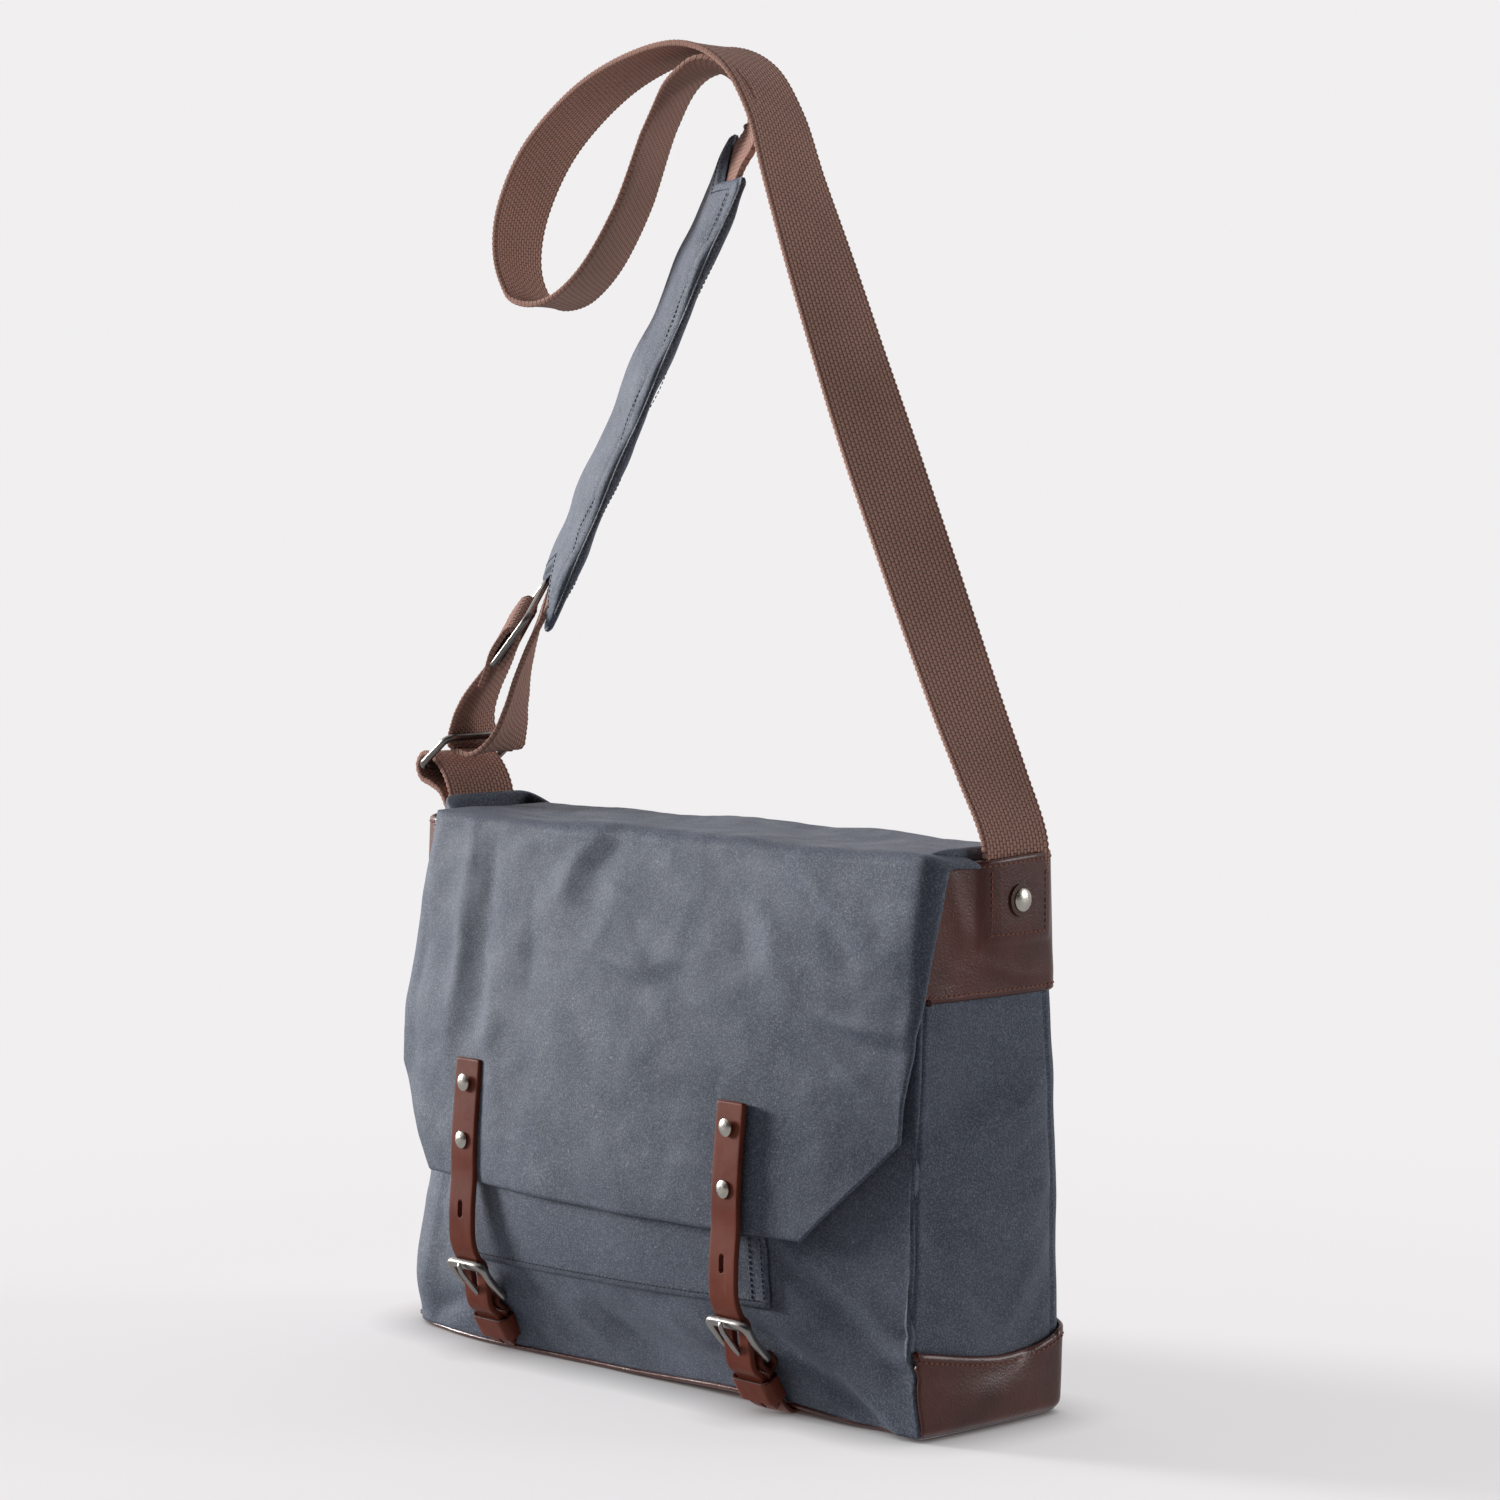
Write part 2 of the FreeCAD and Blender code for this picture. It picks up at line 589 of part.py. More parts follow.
def buckle_anchors():
    """The leather strap that holds each buckle: from the base seam, round the heel bar, with a keeper."""
    for side, sign in SIDES:
        x = sign * size("closure_x")
        width = size("closure_width")
        body = new_body(f"buckle_anchor_{side}")
        in_keeper = KEEPER - KEEPER_OUT * (ANCHOR_THICKNESS / 2 + 0.4)
        stops = [in_keeper + KEEPER_ALONG * 6, in_keeper - KEEPER_ALONG * 6, HEEL + V(0, 1.3, -2.6)]
        route = [(-45.2, 1.4), (-48.4, 2.6)] + [in_plane(p) for p in stops]
        pad(body, f"anchor_sheet_{side}", "YZ_Plane", strip_edges(route, ANCHOR_THICKNESS),
            "Sizes.closure_width", x - width / 2)
        pad(body, f"anchor_fold_{side}", "YZ_Plane", circle(HEEL.y, HEEL.z, FOLD_OUTER),
            FOLD_WIDTH, x - FOLD_WIDTH / 2)
        pocket(body, f"anchor_bore_{side}", "YZ_Plane", circle(HEEL.y, HEEL.z, FOLD_INNER),
               width + 2, x - width / 2 - 1)
        gap = size("prong_width") + 0.8
        pocket(body, f"anchor_slot_{side}", "YZ_Plane",
               rectangle(HEEL.y - 8, HEEL.z - 5, HEEL.y + 5, HEEL.z + 8), gap, x - gap / 2)
        name_node(body, f"buckle_anchor_{side}")

        keeper = new_body(f"keeper_{side}")
        wall = size("keeper_wall")
        inner_x, inner_y = width / 2 + 0.6, 3.4
        pad(keeper, f"keeper_loop_{side}", "XY_Plane",
            rectangle(-inner_x - wall, -inner_y - wall, inner_x + wall, inner_y + wall)
            + rectangle(-inner_x, -inner_y, inner_x, inner_y),
            "Sizes.keeper_length", -size("keeper_length") / 2)
        turn = FreeCAD.Rotation(V(1, 0, 0), KEEPER_OUT, KEEPER_ALONG * -1, "ZXY")
        keeper.Placement = FreeCAD.Placement(V(x, KEEPER.y, KEEPER.z), turn)
        name_node(keeper, f"keeper_{side}")


# ---------------------------------------------------------------- shoulder strap

# The webbing stands up in its own X-Z plane: up the right, over the top, round a hanging loop,
# over a second, smaller arch and straight down through the pad and past the slider to the ring.
RIGHT_RUN = [(181.8, 257.9), (151.6, 316.5), (98.8, 425.4), (59.5, 511.6), (36, 566)]
TOP_ARCH = [(22, 598), (-8, 613), (-48, 609), (-91, 596), (-128, 572), (-149, 543), (-151, 517),
            (-138, 502), (-116, 500), (-92, 513), (-68, 538)]
INNER_ARCH = [(-48, 577), (-32, 597), (-10, 601), (9, 590)]
LINE_TOP = (16, 574)
SLIDER_FOOT = (-140, 340)
LINE_END = (-157, 314)
RING_LOOP = [(-163, 291), (-168, 279), (-182, 278.5)]
RING_UPPER = V(-181, 0, 285.5)
RING_LOWER = V(-203, 0, 270)


def main_line():
    """Unit vectors along the straight run, downwards, and to its outer, upper-left side."""
    along = V(SLIDER_FOOT[0] - LINE_TOP[0], 0, SLIDER_FOOT[1] - LINE_TOP[1])
    along.normalize()
    return along, V(along.z, 0, -along.x)


def rounded_ends():
    """Tall tongue that gives the swinging webbing a round end at each anchor, about the swing axis."""
    half = size("webbing_width") / 2 + 1
    y, z = size("webbing_y"), size("swing_z")
    radius = size("webbing_width") / 2
    top = 640
    edges = [Part.Arc(V(y - radius, z, 0), V(y, z - radius, 0), V(y + radius, z, 0)),
             Part.LineSegment(V(y + radius, z, 0), V(y + half, z, 0)),
             Part.LineSegment(V(y + half, z, 0), V(y + half, top, 0)),
             Part.LineSegment(V(y + half, top, 0), V(y - half, top, 0)),
             Part.LineSegment(V(y - half, top, 0), V(y - half, z, 0)),
             Part.LineSegment(V(y - half, z, 0), V(y - radius, z, 0))]
    body = new_body("rounded_ends")
    pad(body, "rounded_ends_tongue", "YZ_Plane", edges, 480, -240)
    return body


def webbing_piece(label, route, ends=None):
    """A strip of webbing standing in the X-Z plane, its width along Y, rounded by ends if given."""
    body = new_body(label + "_sheet")
    high_y = size("webbing_y") + size("webbing_width") / 2
    pad(body, label + "_pad", "XZ_Plane", strip_edges(route, size("webbing_thickness")),
        "Sizes.webbing_width", -high_y)
    if not ends:
        return name_node(body, label)
    both = doc.addObject("Part::Common", label)
    both.Base = body
    both.Tool = ends
    return name_node(both, label)


def shoulder_strap():
    """The webbing, the tab that holds the ring, and the part that turns back to the slider."""
    ends = rounded_ends()
    webbing_piece("webbing_strap",
                  RIGHT_RUN + TOP_ARCH + INNER_ARCH + [LINE_TOP, LINE_END] + RING_LOOP, ends)
    low = RING_LOWER
    tab = [(-181.8, 257.9), (-188, 270), (-197, 276.5), (low.x - 3, low.z + 5.6), (low.x - 6.2, low.z - 1),
           (low.x - 3, low.z - 6.5), (-196, 262), (-189.5, 257.9)]
    webbing_piece("webbing_tab_left", tab, ends)

    along, out = main_line()
    foot = V(SLIDER_FOOT[0], 0, SLIDER_FOOT[1])
    bar = foot + out * SLIDER_LIFT
    points = [V(-187.5, 0, 283), V(-186, 0, 294), V(-174, 0, 312), foot + out * 4.0 + along * 19,
              foot + out * 3.5 + along * 8, bar - out * 4.0 + along * 2, bar - out * 3.4 - along * 4.0,
              bar + out * 3.6 - along * 4.0, bar + out * 4.4 + along * 2, bar + along * 5.6,
              foot + out * 6.3 + along * 9, foot + out * 6.3 + along * 13.4]
    webbing_piece("webbing_return", [(p.x, p.z) for p in points])


SLIDER_LIFT = 8.5          # slider's plane, out from the straight run


def turned_on_line(point):
    """Placement with local +Y up the straight run and local +Z to its outer side."""
    along, out = main_line()
    turn = FreeCAD.Rotation(V(0, 1, 0), along * -1, out, "YZX")
    return FreeCAD.Placement(point, turn)


def strap_hardware():
    """Slider with its centre bar, and the ring between the tab and the webbing."""
    along, out = main_line()
    y = size("webbing_y")
    length = size("slider_length")
    slider = new_body("strap_slider")
    rounded_ring(slider, "slider_rod", size("ring_width") / 2, length, 4.0, size("slider_rod"),
                 bars=(length / 2,))
    foot = V(SLIDER_FOOT[0], y, SLIDER_FOOT[1])
    slider.Placement = turned_on_line(foot + out * SLIDER_LIFT + along * (length / 2))
    name_node(slider, "strap_slider")

    ring = new_body("strap_ring")
    rounded_ring(ring, "ring_rod", size("ring_width") / 2, (RING_UPPER - RING_LOWER).Length, 5.0,
                 size("ring_rod"))
    rise = (RING_UPPER - RING_LOWER).normalize()
    turn = FreeCAD.Rotation(V(0, 1, 0), rise, V(-rise.z, 0, rise.x), "YZX")
    ring.Placement = FreeCAD.Placement(V(RING_LOWER.x, y, RING_LOWER.z), turn)
    name_node(ring, "strap_ring")


def shoulder_pad():
    """Sleeve with V-notched ends round the webbing, and the foam inside it."""
    along, out = main_line()
    length, width = size("pad_length"), size("pad_width")
    thick, wall = size("pad_thickness"), size("pad_wall")
    notch = 16
    half = width / 2
    inside = size("webbing_width") / 2 + 2.2
    cover = new_body("pad_cover")
    outline = [(-half, 0), (0, notch), (half, 0), (half, length), (0, length - notch), (-half, length)]
    low = -thick / 2 + 1.6
    pad(cover, "pad_sleeve", "XY_Plane", polygon_edges(outline), "Sizes.pad_thickness", low)
    pocket(cover, "pad_passage", "XZ_Plane",
           rectangle(-inside, low + wall, inside, low + thick - wall), length + 20, -length - 10)
    foot = V(SLIDER_FOOT[0], size("webbing_y"), SLIDER_FOOT[1])
    place = turned_on_line(foot - along * 21.5)
    cover.Placement = place
    name_node(cover, "pad_cover")

    foam = new_body("pad_foam")
    pad(foam, "pad_foam_sheet", "XY_Plane",
        rectangle(-inside + 1, notch + 8, inside - 1, length - notch - 8), 3.6, 1.9)
    foam.Placement = place
    name_node(foam, "pad_foam")


# ---------------------------------------------------------------- build, check, write

def main():
    body_panels()
    gussets()
    base()
    lining()
    pockets()
    anchors()
    flap()
    closure_straps()
    buckles()
    buckle_anchors()
    shoulder_strap()
    strap_hardware()
    shoulder_pad()
    doc.recompute()

    broken = [o.Label for o in doc.Objects if "Invalid" in o.State or "Error" in o.State]
    broken += [n.Label for n in nodes if n.Shape.isNull() or not n.Shape.isValid()]
    if broken:
        raise RuntimeError(f"failed: {broken}")
    os.makedirs("parts", exist_ok=True)
    for node in nodes:
        box = node.Shape.BoundBox
        print(f"{node.Label:24s} {node.Shape.Volume / 1000:8.2f} cm3 {len(node.Shape.Solids)} solid  "
              f"x {box.XMin:7.1f} {box.XMax:7.1f}  y {box.YMin:7.1f} {box.YMax:7.1f}  z {box.ZMin:6.1f} {box.ZMax:6.1f}")
        node.Shape.exportStep(f"parts/{node.Label}.step")
    print(len(nodes), "nodes")


main()
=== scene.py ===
"""Messenger bag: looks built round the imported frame. Shapes are worked out in millimetres, written in metres.

+X is the bag's right, the front faces -Y, +Z is up, and the origin is under the middle of the base.
"""
import math

import bmesh
import bpy
import numpy as np
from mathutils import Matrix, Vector, noise


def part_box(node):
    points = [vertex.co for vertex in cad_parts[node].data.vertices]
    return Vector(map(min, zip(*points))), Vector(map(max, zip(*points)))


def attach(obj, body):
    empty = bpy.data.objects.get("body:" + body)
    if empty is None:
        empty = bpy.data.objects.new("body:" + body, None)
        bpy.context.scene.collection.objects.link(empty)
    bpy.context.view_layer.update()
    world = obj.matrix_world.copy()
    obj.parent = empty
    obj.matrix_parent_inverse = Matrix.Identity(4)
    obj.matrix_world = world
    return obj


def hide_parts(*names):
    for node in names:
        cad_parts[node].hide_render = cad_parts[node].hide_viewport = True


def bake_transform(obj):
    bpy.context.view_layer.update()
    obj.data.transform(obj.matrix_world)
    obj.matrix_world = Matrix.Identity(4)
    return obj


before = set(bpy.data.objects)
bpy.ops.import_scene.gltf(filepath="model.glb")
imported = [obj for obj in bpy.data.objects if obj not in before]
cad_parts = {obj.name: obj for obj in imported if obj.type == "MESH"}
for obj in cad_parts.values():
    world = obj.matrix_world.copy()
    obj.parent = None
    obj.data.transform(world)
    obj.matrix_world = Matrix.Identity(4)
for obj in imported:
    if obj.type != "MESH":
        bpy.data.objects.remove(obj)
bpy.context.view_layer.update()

MM = 0.001
SIDES = (("left", -1), ("right", 1))

# ---------------------------------------------------------------- sizes, as in the CAD model

HALF_WIDTH = 180
HEIGHT = 250
MOUTH_Z = 246
HALF_DEPTH = 46
FRONT_BULGE, BACK_BULGE = 25, 6
CLOTH = 2.0
FLAP_FACE = 6.5            # from the front panel's face to the flap's outside
FLAP_Z = 253.8             # top of the flap
HEM_Z = 84                 # lower edge of the flap
CLOSURE_X = 91
CLOSURE_WIDTH, CLOSURE_THICK = 17, 2.8
WEB_Y, WEB_WIDTH, WEB_THICK = 10, 40, 2.5

# (share of the height, corner's share of the half depth, share of the bulge)
FRONT_STATIONS = ((0.0, 0.95, 0.0), (0.08, 1.022, 0.25), (0.16, 1.076, 0.6), (0.336, 1.065, 1.0),
                  (0.52, 1.022, 0.97), (0.76, 0.957, 0.64), (1.0, 0.826, 0.0))
BACK_STATIONS = ((0.0, 1.0, 0.0), (0.16, 1.022, 0.6), (0.48, 0.978, 1.0), (0.76, 0.88, 0.7),
                 (1.0, 0.826, 0.0))


def smooth(low, high, value):
    """0 below low, 1 above high, and an even curve between."""
    t = np.clip((value - low) / (high - low), 0, 1)
    return t * t * (3 - 2 * t)


def spline(knots, values, at):
    """Smooth curve through values at knots, read at points."""
    knots, values = np.asarray(knots, float), np.asarray(values, float)
    slopes = np.gradient(values, knots)
    at = np.clip(at, knots[0], knots[-1])
    k = np.clip(np.searchsorted(knots, at) - 1, 0, len(knots) - 2)
    width = knots[k + 1] - knots[k]
    t = (at - knots[k]) / width
    h = (2 * t**3 - 3 * t**2 + 1, t**3 - 2 * t**2 + t, -2 * t**3 + 3 * t**2, t**3 - t**2)
    return h[0] * values[k] + h[1] * width * slopes[k] + h[2] * values[k + 1] + h[3] * width * slopes[k + 1]


def face_depth(x, z, front=True):
    """How far in front of (or behind) the middle plane a face lies, without its folds."""
    table = np.array(FRONT_STATIONS if front else BACK_STATIONS)
    heights = table[:, 0] * HEIGHT
    corner = spline(heights, table[:, 1] * HALF_DEPTH, z)
    bulge = spline(heights, table[:, 2] * (FRONT_BULGE if front else BACK_BULGE), z)
    return corner + bulge * (1 - np.clip(np.abs(x) / 177, 0, 1) ** 2)


# ---------------------------------------------------------------- folds in the cloth

# A fold is (from x, from z, to x, to z, half width, height); a negative height is a valley.
FLAP_FOLDS = ((-118, 238, -112, 138, 8, 3.8), (-102, 234, -94, 160, 8, -2.8), (-84, 168, -66, 118, 8, 3.6),
              (-64, 206, -54, 168, 9, -2.4), (-30, 240, -58, 206, 9, 3.0), (-16, 232, -30, 200, 9, -1.8),
              (-66, 240, -28, 247, 9, 2.4), (-8, 248, -30, 222, 5, -1.6), (-50, 196, 56, 200, 4, 1.2),
              (-30, 188, 50, 191, 5, -1.0), (66, 228, 94, 192, 8, -1.7), (88, 218, 106, 190, 7, 1.8),
              (134, 183, 174, 178, 4, 2.2), (134, 176, 174, 170, 4, -1.8), (142, 164, 174, 149, 5, 1.8),
              (-20, 227, 48, 224, 4, 1.2), (6, 170, 62, 148, 9, 1.5), (18, 208, 68, 168, 8, -1.5),
              (-152, 214, -150, 120, 7, -2.2), (112, 238, 154, 214, 8, 2.2), (120, 226, 150, 200, 7, -1.8),
              (56, 132, 124, 110, 8, 1.6), (-146, 120, -110, 96, 7, 1.8), (20, 246, 60, 236, 7, 1.8),
              (-56, 124, -22, 106, 7, 1.4))
FRONT_FOLDS = ((74, 40, 150, 13, 6, -3.6), (92, 46, 168, 24, 7, 3.2), (-8, 33, 34, 16, 6, -2.6),
               (-98, 36, -52, 16, 7, 3.0), (144, 22, 176, 1, 3.5, 3.4), (136, 14, 164, 1, 4, -3.2),
               (166, 55, 180, 50, 2.6, -1.6), (164, 43, 180, 40, 2.8, 1.6), (162, 34, 180, 33, 2.6, -1.6),
               (102, 84, 172, 50, 7, 2.4), (-142, 62, -160, 10, 8, 3.0), (-172, 90, -150, 60, 7, -2.4),
               (112, 68, 168, 36, 6, -2.4), (-120, 24, -150, 6, 6, -2.2), (150, 150, 174, 120, 9, 1.2),
               (-40, 30, -6, 12, 6, 2.0), (30, 40, 62, 22, 6, 1.8))
GUSSET_FOLDS = ((-40, 182, 4, 176, 7, 2.4), (-44, 136, 26, 160, 7, -3.0), (-40, 120, 20, 146, 8, 2.6),
                (14, 118, 40, 134, 4, -3.0), (8, 138, 28, 150, 3.5, 2.2), (22, 104, 40, 112, 4, 2.8),
                (24, 88, 42, 104, 5, -2.8), (-30, 96, 10, 84, 10, 2.2), (-44, 60, -14, 52, 6, 1.6),
                (18, 44, 42, 66, 6, -2.8), (10, 56, 30, 84, 7, 2.4), (-46, 100, -36, 74, 6, -1.6),
                (34, 172, 42, 140, 5, 2.0), (-20, 62, 6, 48, 6, -1.6))


def fold_height(u, v, folds):
    """Sum of the folds at (u, v): wandering ridges and valleys, strongest along their middle."""
    u, v = np.asarray(u, float), np.asarray(v, float)
    bent_u = u + 3.4 * np.sin(v / 21 + 1.7) + 1.5 * np.sin(v / 8.5 + u / 29)
    bent_v = v + 3.4 * np.sin(u / 24 + 0.6) + 1.5 * np.sin(u / 9.5 + v / 33)
    total = np.zeros_like(bent_u + bent_v)
    for u0, v0, u1, v1, width, height in folds:
        length = math.hypot(u1 - u0, v1 - v0)
        along = ((bent_u - u0) * (u1 - u0) + (bent_v - v0) * (v1 - v0)) / length
        across = ((bent_u - u0) * (v1 - v0) - (bent_v - v0) * (u1 - u0)) / length
        share = np.clip(along / length, 0, 1)
        spread = width * (0.65 + 0.7 * share)
        beyond = np.maximum(np.maximum(-along, along - length), 0)
        strength = 0.45 + 0.55 * np.sin(math.pi * share)
        total += height * strength * np.exp(-np.abs(across / spread) ** 1.7 - beyond**2 / (3 * width**2))
    return total


def rumple(points, scale, offset=0.0):
    """Smooth noise from -1 to 1 at each point of an array, with lumps of about this size."""
    flat = points.reshape(-1, 3) / scale + offset
    values = [noise.noise(Vector(p)) for p in flat]
    return np.array(values).reshape(points.shape[:-1])


# ---------------------------------------------------------------- meshes

def normals_of(points, closed=False):
    """Unit normals of a grid of points: rows run along axis 0, columns along axis 1."""
    if closed:
        wrapped = np.concatenate([points[:, -1:], points, points[:, :1]], axis=1)
        across = np.gradient(wrapped, axis=1)[:, 1:-1]
    else:
        across = np.gradient(points, axis=1)
    along = np.gradient(points, axis=0)
    normal = np.cross(across, along)
    return normal / np.maximum(np.linalg.norm(normal, axis=2, keepdims=True), 1e-9)


def grid_faces(rows, columns, start=0, closed=False, flip=False):
    """Four-sided faces between neighbouring points of a grid; closed joins its last column to its first."""
    faces = []
    for r in range(rows - 1):
        for c in range(columns if closed else columns - 1):
            d = (c + 1) % columns
            face = (start + r * columns + c, start + r * columns + d,
                    start + (r + 1) * columns + d, start + (r + 1) * columns + c)
            faces.append(face[::-1] if flip else face)
    return faces


def circle(count):
    """Cosine and sine at even steps round a circle."""
    return [(math.cos(2 * math.pi * k / count), math.sin(2 * math.pi * k / count)) for k in range(count)]


def new_mesh(name, vertices, faces, uvs=None, flat=False):
    """A mesh object from millimetre points, with its UV in metres along the cloth."""
    mesh = bpy.data.meshes.new(name)
    mesh.from_pydata((np.asarray(vertices, float) * MM).tolist(), [], [tuple(map(int, f)) for f in faces])
    mesh.update()
    if uvs is not None:
        layer = mesh.uv_layers.new(name="along_cloth")
        index = np.empty(len(mesh.loops), int)
        mesh.loops.foreach_get("vertex_index", index)
        layer.data.foreach_set("uv", (np.asarray(uvs, float) * MM)[index].ravel())
    mesh.shade_flat() if flat else mesh.shade_smooth()
    piece = bpy.data.objects.new(name, mesh)
    bpy.context.collection.objects.link(piece)
    return piece


def cloth_lengths(points):
    """UV of a grid of points: lengths along its rows and columns, in millimetres."""
    across = np.cumsum(np.linalg.norm(np.diff(points, axis=1, prepend=points[:, :1]), axis=2), axis=1)
    across -= across[:, across.shape[1] // 2][:, None]
    along = np.cumsum(np.linalg.norm(np.diff(points, axis=0, prepend=points[:1]), axis=2), axis=0)
    return np.stack([across, np.broadcast_to(along.mean(axis=1, keepdims=True), across.shape)], axis=2)


def thick_sheet(name, points, thickness, joined_row=None):
    """A sheet of cloth or leather round a grid of points on its outer face, with rounded edges.

    joined_row is an end row that meets another piece: its edge is cut flat and shaded as if it went on."""
    rows, columns = points.shape[:2]
    normal = normals_of(points)
    inner = points - normal * thickness
    uv = cloth_lengths(points)
    border = [(0, c) for c in range(columns)]
    border += [(r, columns - 1) for r in range(1, rows)]
    border += [(rows - 1, c) for c in range(columns - 2, -1, -1)]
    border += [(r, 0) for r in range(rows - 2, 0, -1)]
    count = rows * columns
    vertices = np.concatenate([points.reshape(-1, 3), inner.reshape(-1, 3)])
    uvs = np.concatenate([uv.reshape(-1, 2), uv.reshape(-1, 2)])
    faces = grid_faces(rows, columns) + grid_faces(rows, columns, count, flip=True)
    rim, rim_uv = [], []
    for r, c in border:
        inside = points[min(max(r, 1), rows - 2), min(max(c, 1), columns - 2)]
        outward = points[r, c] - inside
        outward /= max(np.linalg.norm(outward), 1e-9)
        if r == joined_row:
            outward *= 0
        rim.append(points[r, c] - normal[r, c] * thickness / 2 + outward * thickness * 0.42)
        rim_uv.append(uv[r, c])
    vertices = np.concatenate([vertices, rim])
    uvs = np.concatenate([uvs, rim_uv])
    ring = len(border)
    for k, (r, c) in enumerate(border):
        rn, cn = border[(k + 1) % ring]
        a, b = r * columns + c, rn * columns + cn
        m, n = 2 * count + k, 2 * count + (k + 1) % ring
        faces.append((b, a, m, n))
        faces.append((n, m, a + count, b + count))
    piece = new_mesh(name, vertices, faces, uvs)
    if joined_row is not None:
        row = set(range(joined_row * columns, (joined_row + 1) * columns))
        row |= {v + count for v in row}
        for edge in piece.data.edges:
            edge.use_edge_sharp = edge.vertices[0] in row and edge.vertices[1] in row
    return piece


def resample(points, step):
    """Smooth curve through points (Catmull-Rom), cut into equal steps; extra columns ride along."""
    points = np.asarray(points, float)
    ends = np.vstack([2 * points[0] - points[1], points, 2 * points[-1] - points[-2]])
    dense = []
    for k in range(len(points) - 1):
        p0, p1, p2, p3 = ends[k:k + 4]
        t = np.linspace(0, 1, 40, endpoint=False)[:, None]
        dense.append(0.5 * (2 * p1 + (p2 - p0) * t + (2 * p0 - 5 * p1 + 4 * p2 - p3) * t**2
                            + (3 * p1 - p0 - 3 * p2 + p3) * t**3))
    dense = np.vstack(dense + [points[-1:]])
    lengths = np.r_[0, np.cumsum(np.linalg.norm(np.diff(dense[:, :3], axis=0), axis=1))]
    count = max(int(lengths[-1] / step), 2)
    at = np.linspace(0, lengths[-1], count + 1)
    return np.stack([np.interp(at, lengths, dense[:, c]) for c in range(dense.shape[1])], axis=1), at


def band(name, centre, widthways, section, at, shape=None):
    """Sweep a section, as (across, up) points, along a line; shape may change it point by point."""
    tangent = np.gradient(centre, axis=0)
    tangent /= np.linalg.norm(tangent, axis=1, keepdims=True)
    widthways = widthways - (widthways * tangent).sum(axis=1, keepdims=True) * tangent
    widthways /= np.linalg.norm(widthways, axis=1, keepdims=True)
    upward = np.cross(tangent, widthways)
    section = np.asarray(section, float)
    count = len(section)
    across = np.broadcast_to(section[:, 0], (len(centre), count)).copy()
    up = np.broadcast_to(section[:, 1], (len(centre), count)).copy()
    if shape:
        across, up = shape(across, up, at[:, None])
    vertices = centre[:, None] + across[..., None] * widthways[:, None] + up[..., None] * upward[:, None]
    faces = grid_faces(len(centre), count, closed=True)
    faces.append(tuple(range(count))[::-1])
    faces.append(tuple((len(centre) - 1) * count + k for k in range(count)))
    uv = np.stack([across, np.broadcast_to(at[:, None], across.shape)], axis=2)
    return new_mesh(name, vertices.reshape(-1, 3), faces, uv.reshape(-1, 2))


def strap_section(width, thickness, columns=12, corner=0.8):
    """Outline of a flat strap: columns on each face and rounded edges."""
    half, up = width / 2, thickness / 2
    flat = np.linspace(-half + corner, half - corner, columns)
    bends = np.radians((67.5, 45, 22.5, 0, -22.5, -45, -67.5))
    squash = min(corner, up)
    edge = [(half - corner + corner * math.cos(a), up - squash + squash * math.sin(a) if a > 0 else
             -up + squash + squash * math.sin(a)) for a in bends]
    top = [(x, up) for x in flat]
    bottom = [(x, -up) for x in flat[::-1]]
    return top + edge + bottom + [(-x, -y) for x, y in edge]


def stitches(name, line, pitch, length, radius):
    """A row of sewn thread: one small rounded capsule for each stitch along a line of points."""
    path, at = resample(line, 0.5)
    vertices, faces = [], []
    sides = 6
    rings = ((-0.5, 0.35), (-0.36, 0.9), (0, 1.0), (0.36, 0.9), (0.5, 0.35))
    for start in np.arange(pitch / 2, at[-1] - length / 2, pitch):
        middle = np.array([np.interp(start, at, path[:, c]) for c in range(3)])
        ahead = np.array([np.interp(start + 0.8, at, path[:, c]) for c in range(3)])
        along = (ahead - middle) / max(np.linalg.norm(ahead - middle), 1e-9)
        side = np.cross(along, (0.31, 0.52, 0.8))
        side /= np.linalg.norm(side)
        other = np.cross(along, side)
        base = len(vertices)
        for share, size in rings:
            for c, s in circle(sides):
                vertices.append(middle + along * share * length + radius * size * (side * c + other * s))
        faces += grid_faces(len(rings), sides, base, closed=True)
        faces.append(tuple(base + k for k in range(sides))[::-1])
        faces.append(tuple(base + (len(rings) - 1) * sides + k for k in range(sides)))
    return new_mesh(name, vertices, faces)


def belongs(piece, body, slot, material, *nodes):
    """Give a piece its material and body, and hide the CAD nodes it stands for; slot is not used."""
    piece.data.materials.clear()
    piece.data.materials.append(material)
    if body:
        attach(piece, body)
    if nodes:
        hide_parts(*nodes)


def sew(name, line, pitch, body, slot, thread, length=2.1, radius=0.34):
    """A row of stitches on a body."""
    belongs(stitches(name, line, pitch, length, radius), body, slot, thread)


def sew_finely(name, line, body):
    """A row of short dark stitches in waxed cotton."""
    sew(name, line, 2.6, body, "waxed_cotton", dark_thread, 1.7, 0.26)


# ---------------------------------------------------------------- materials

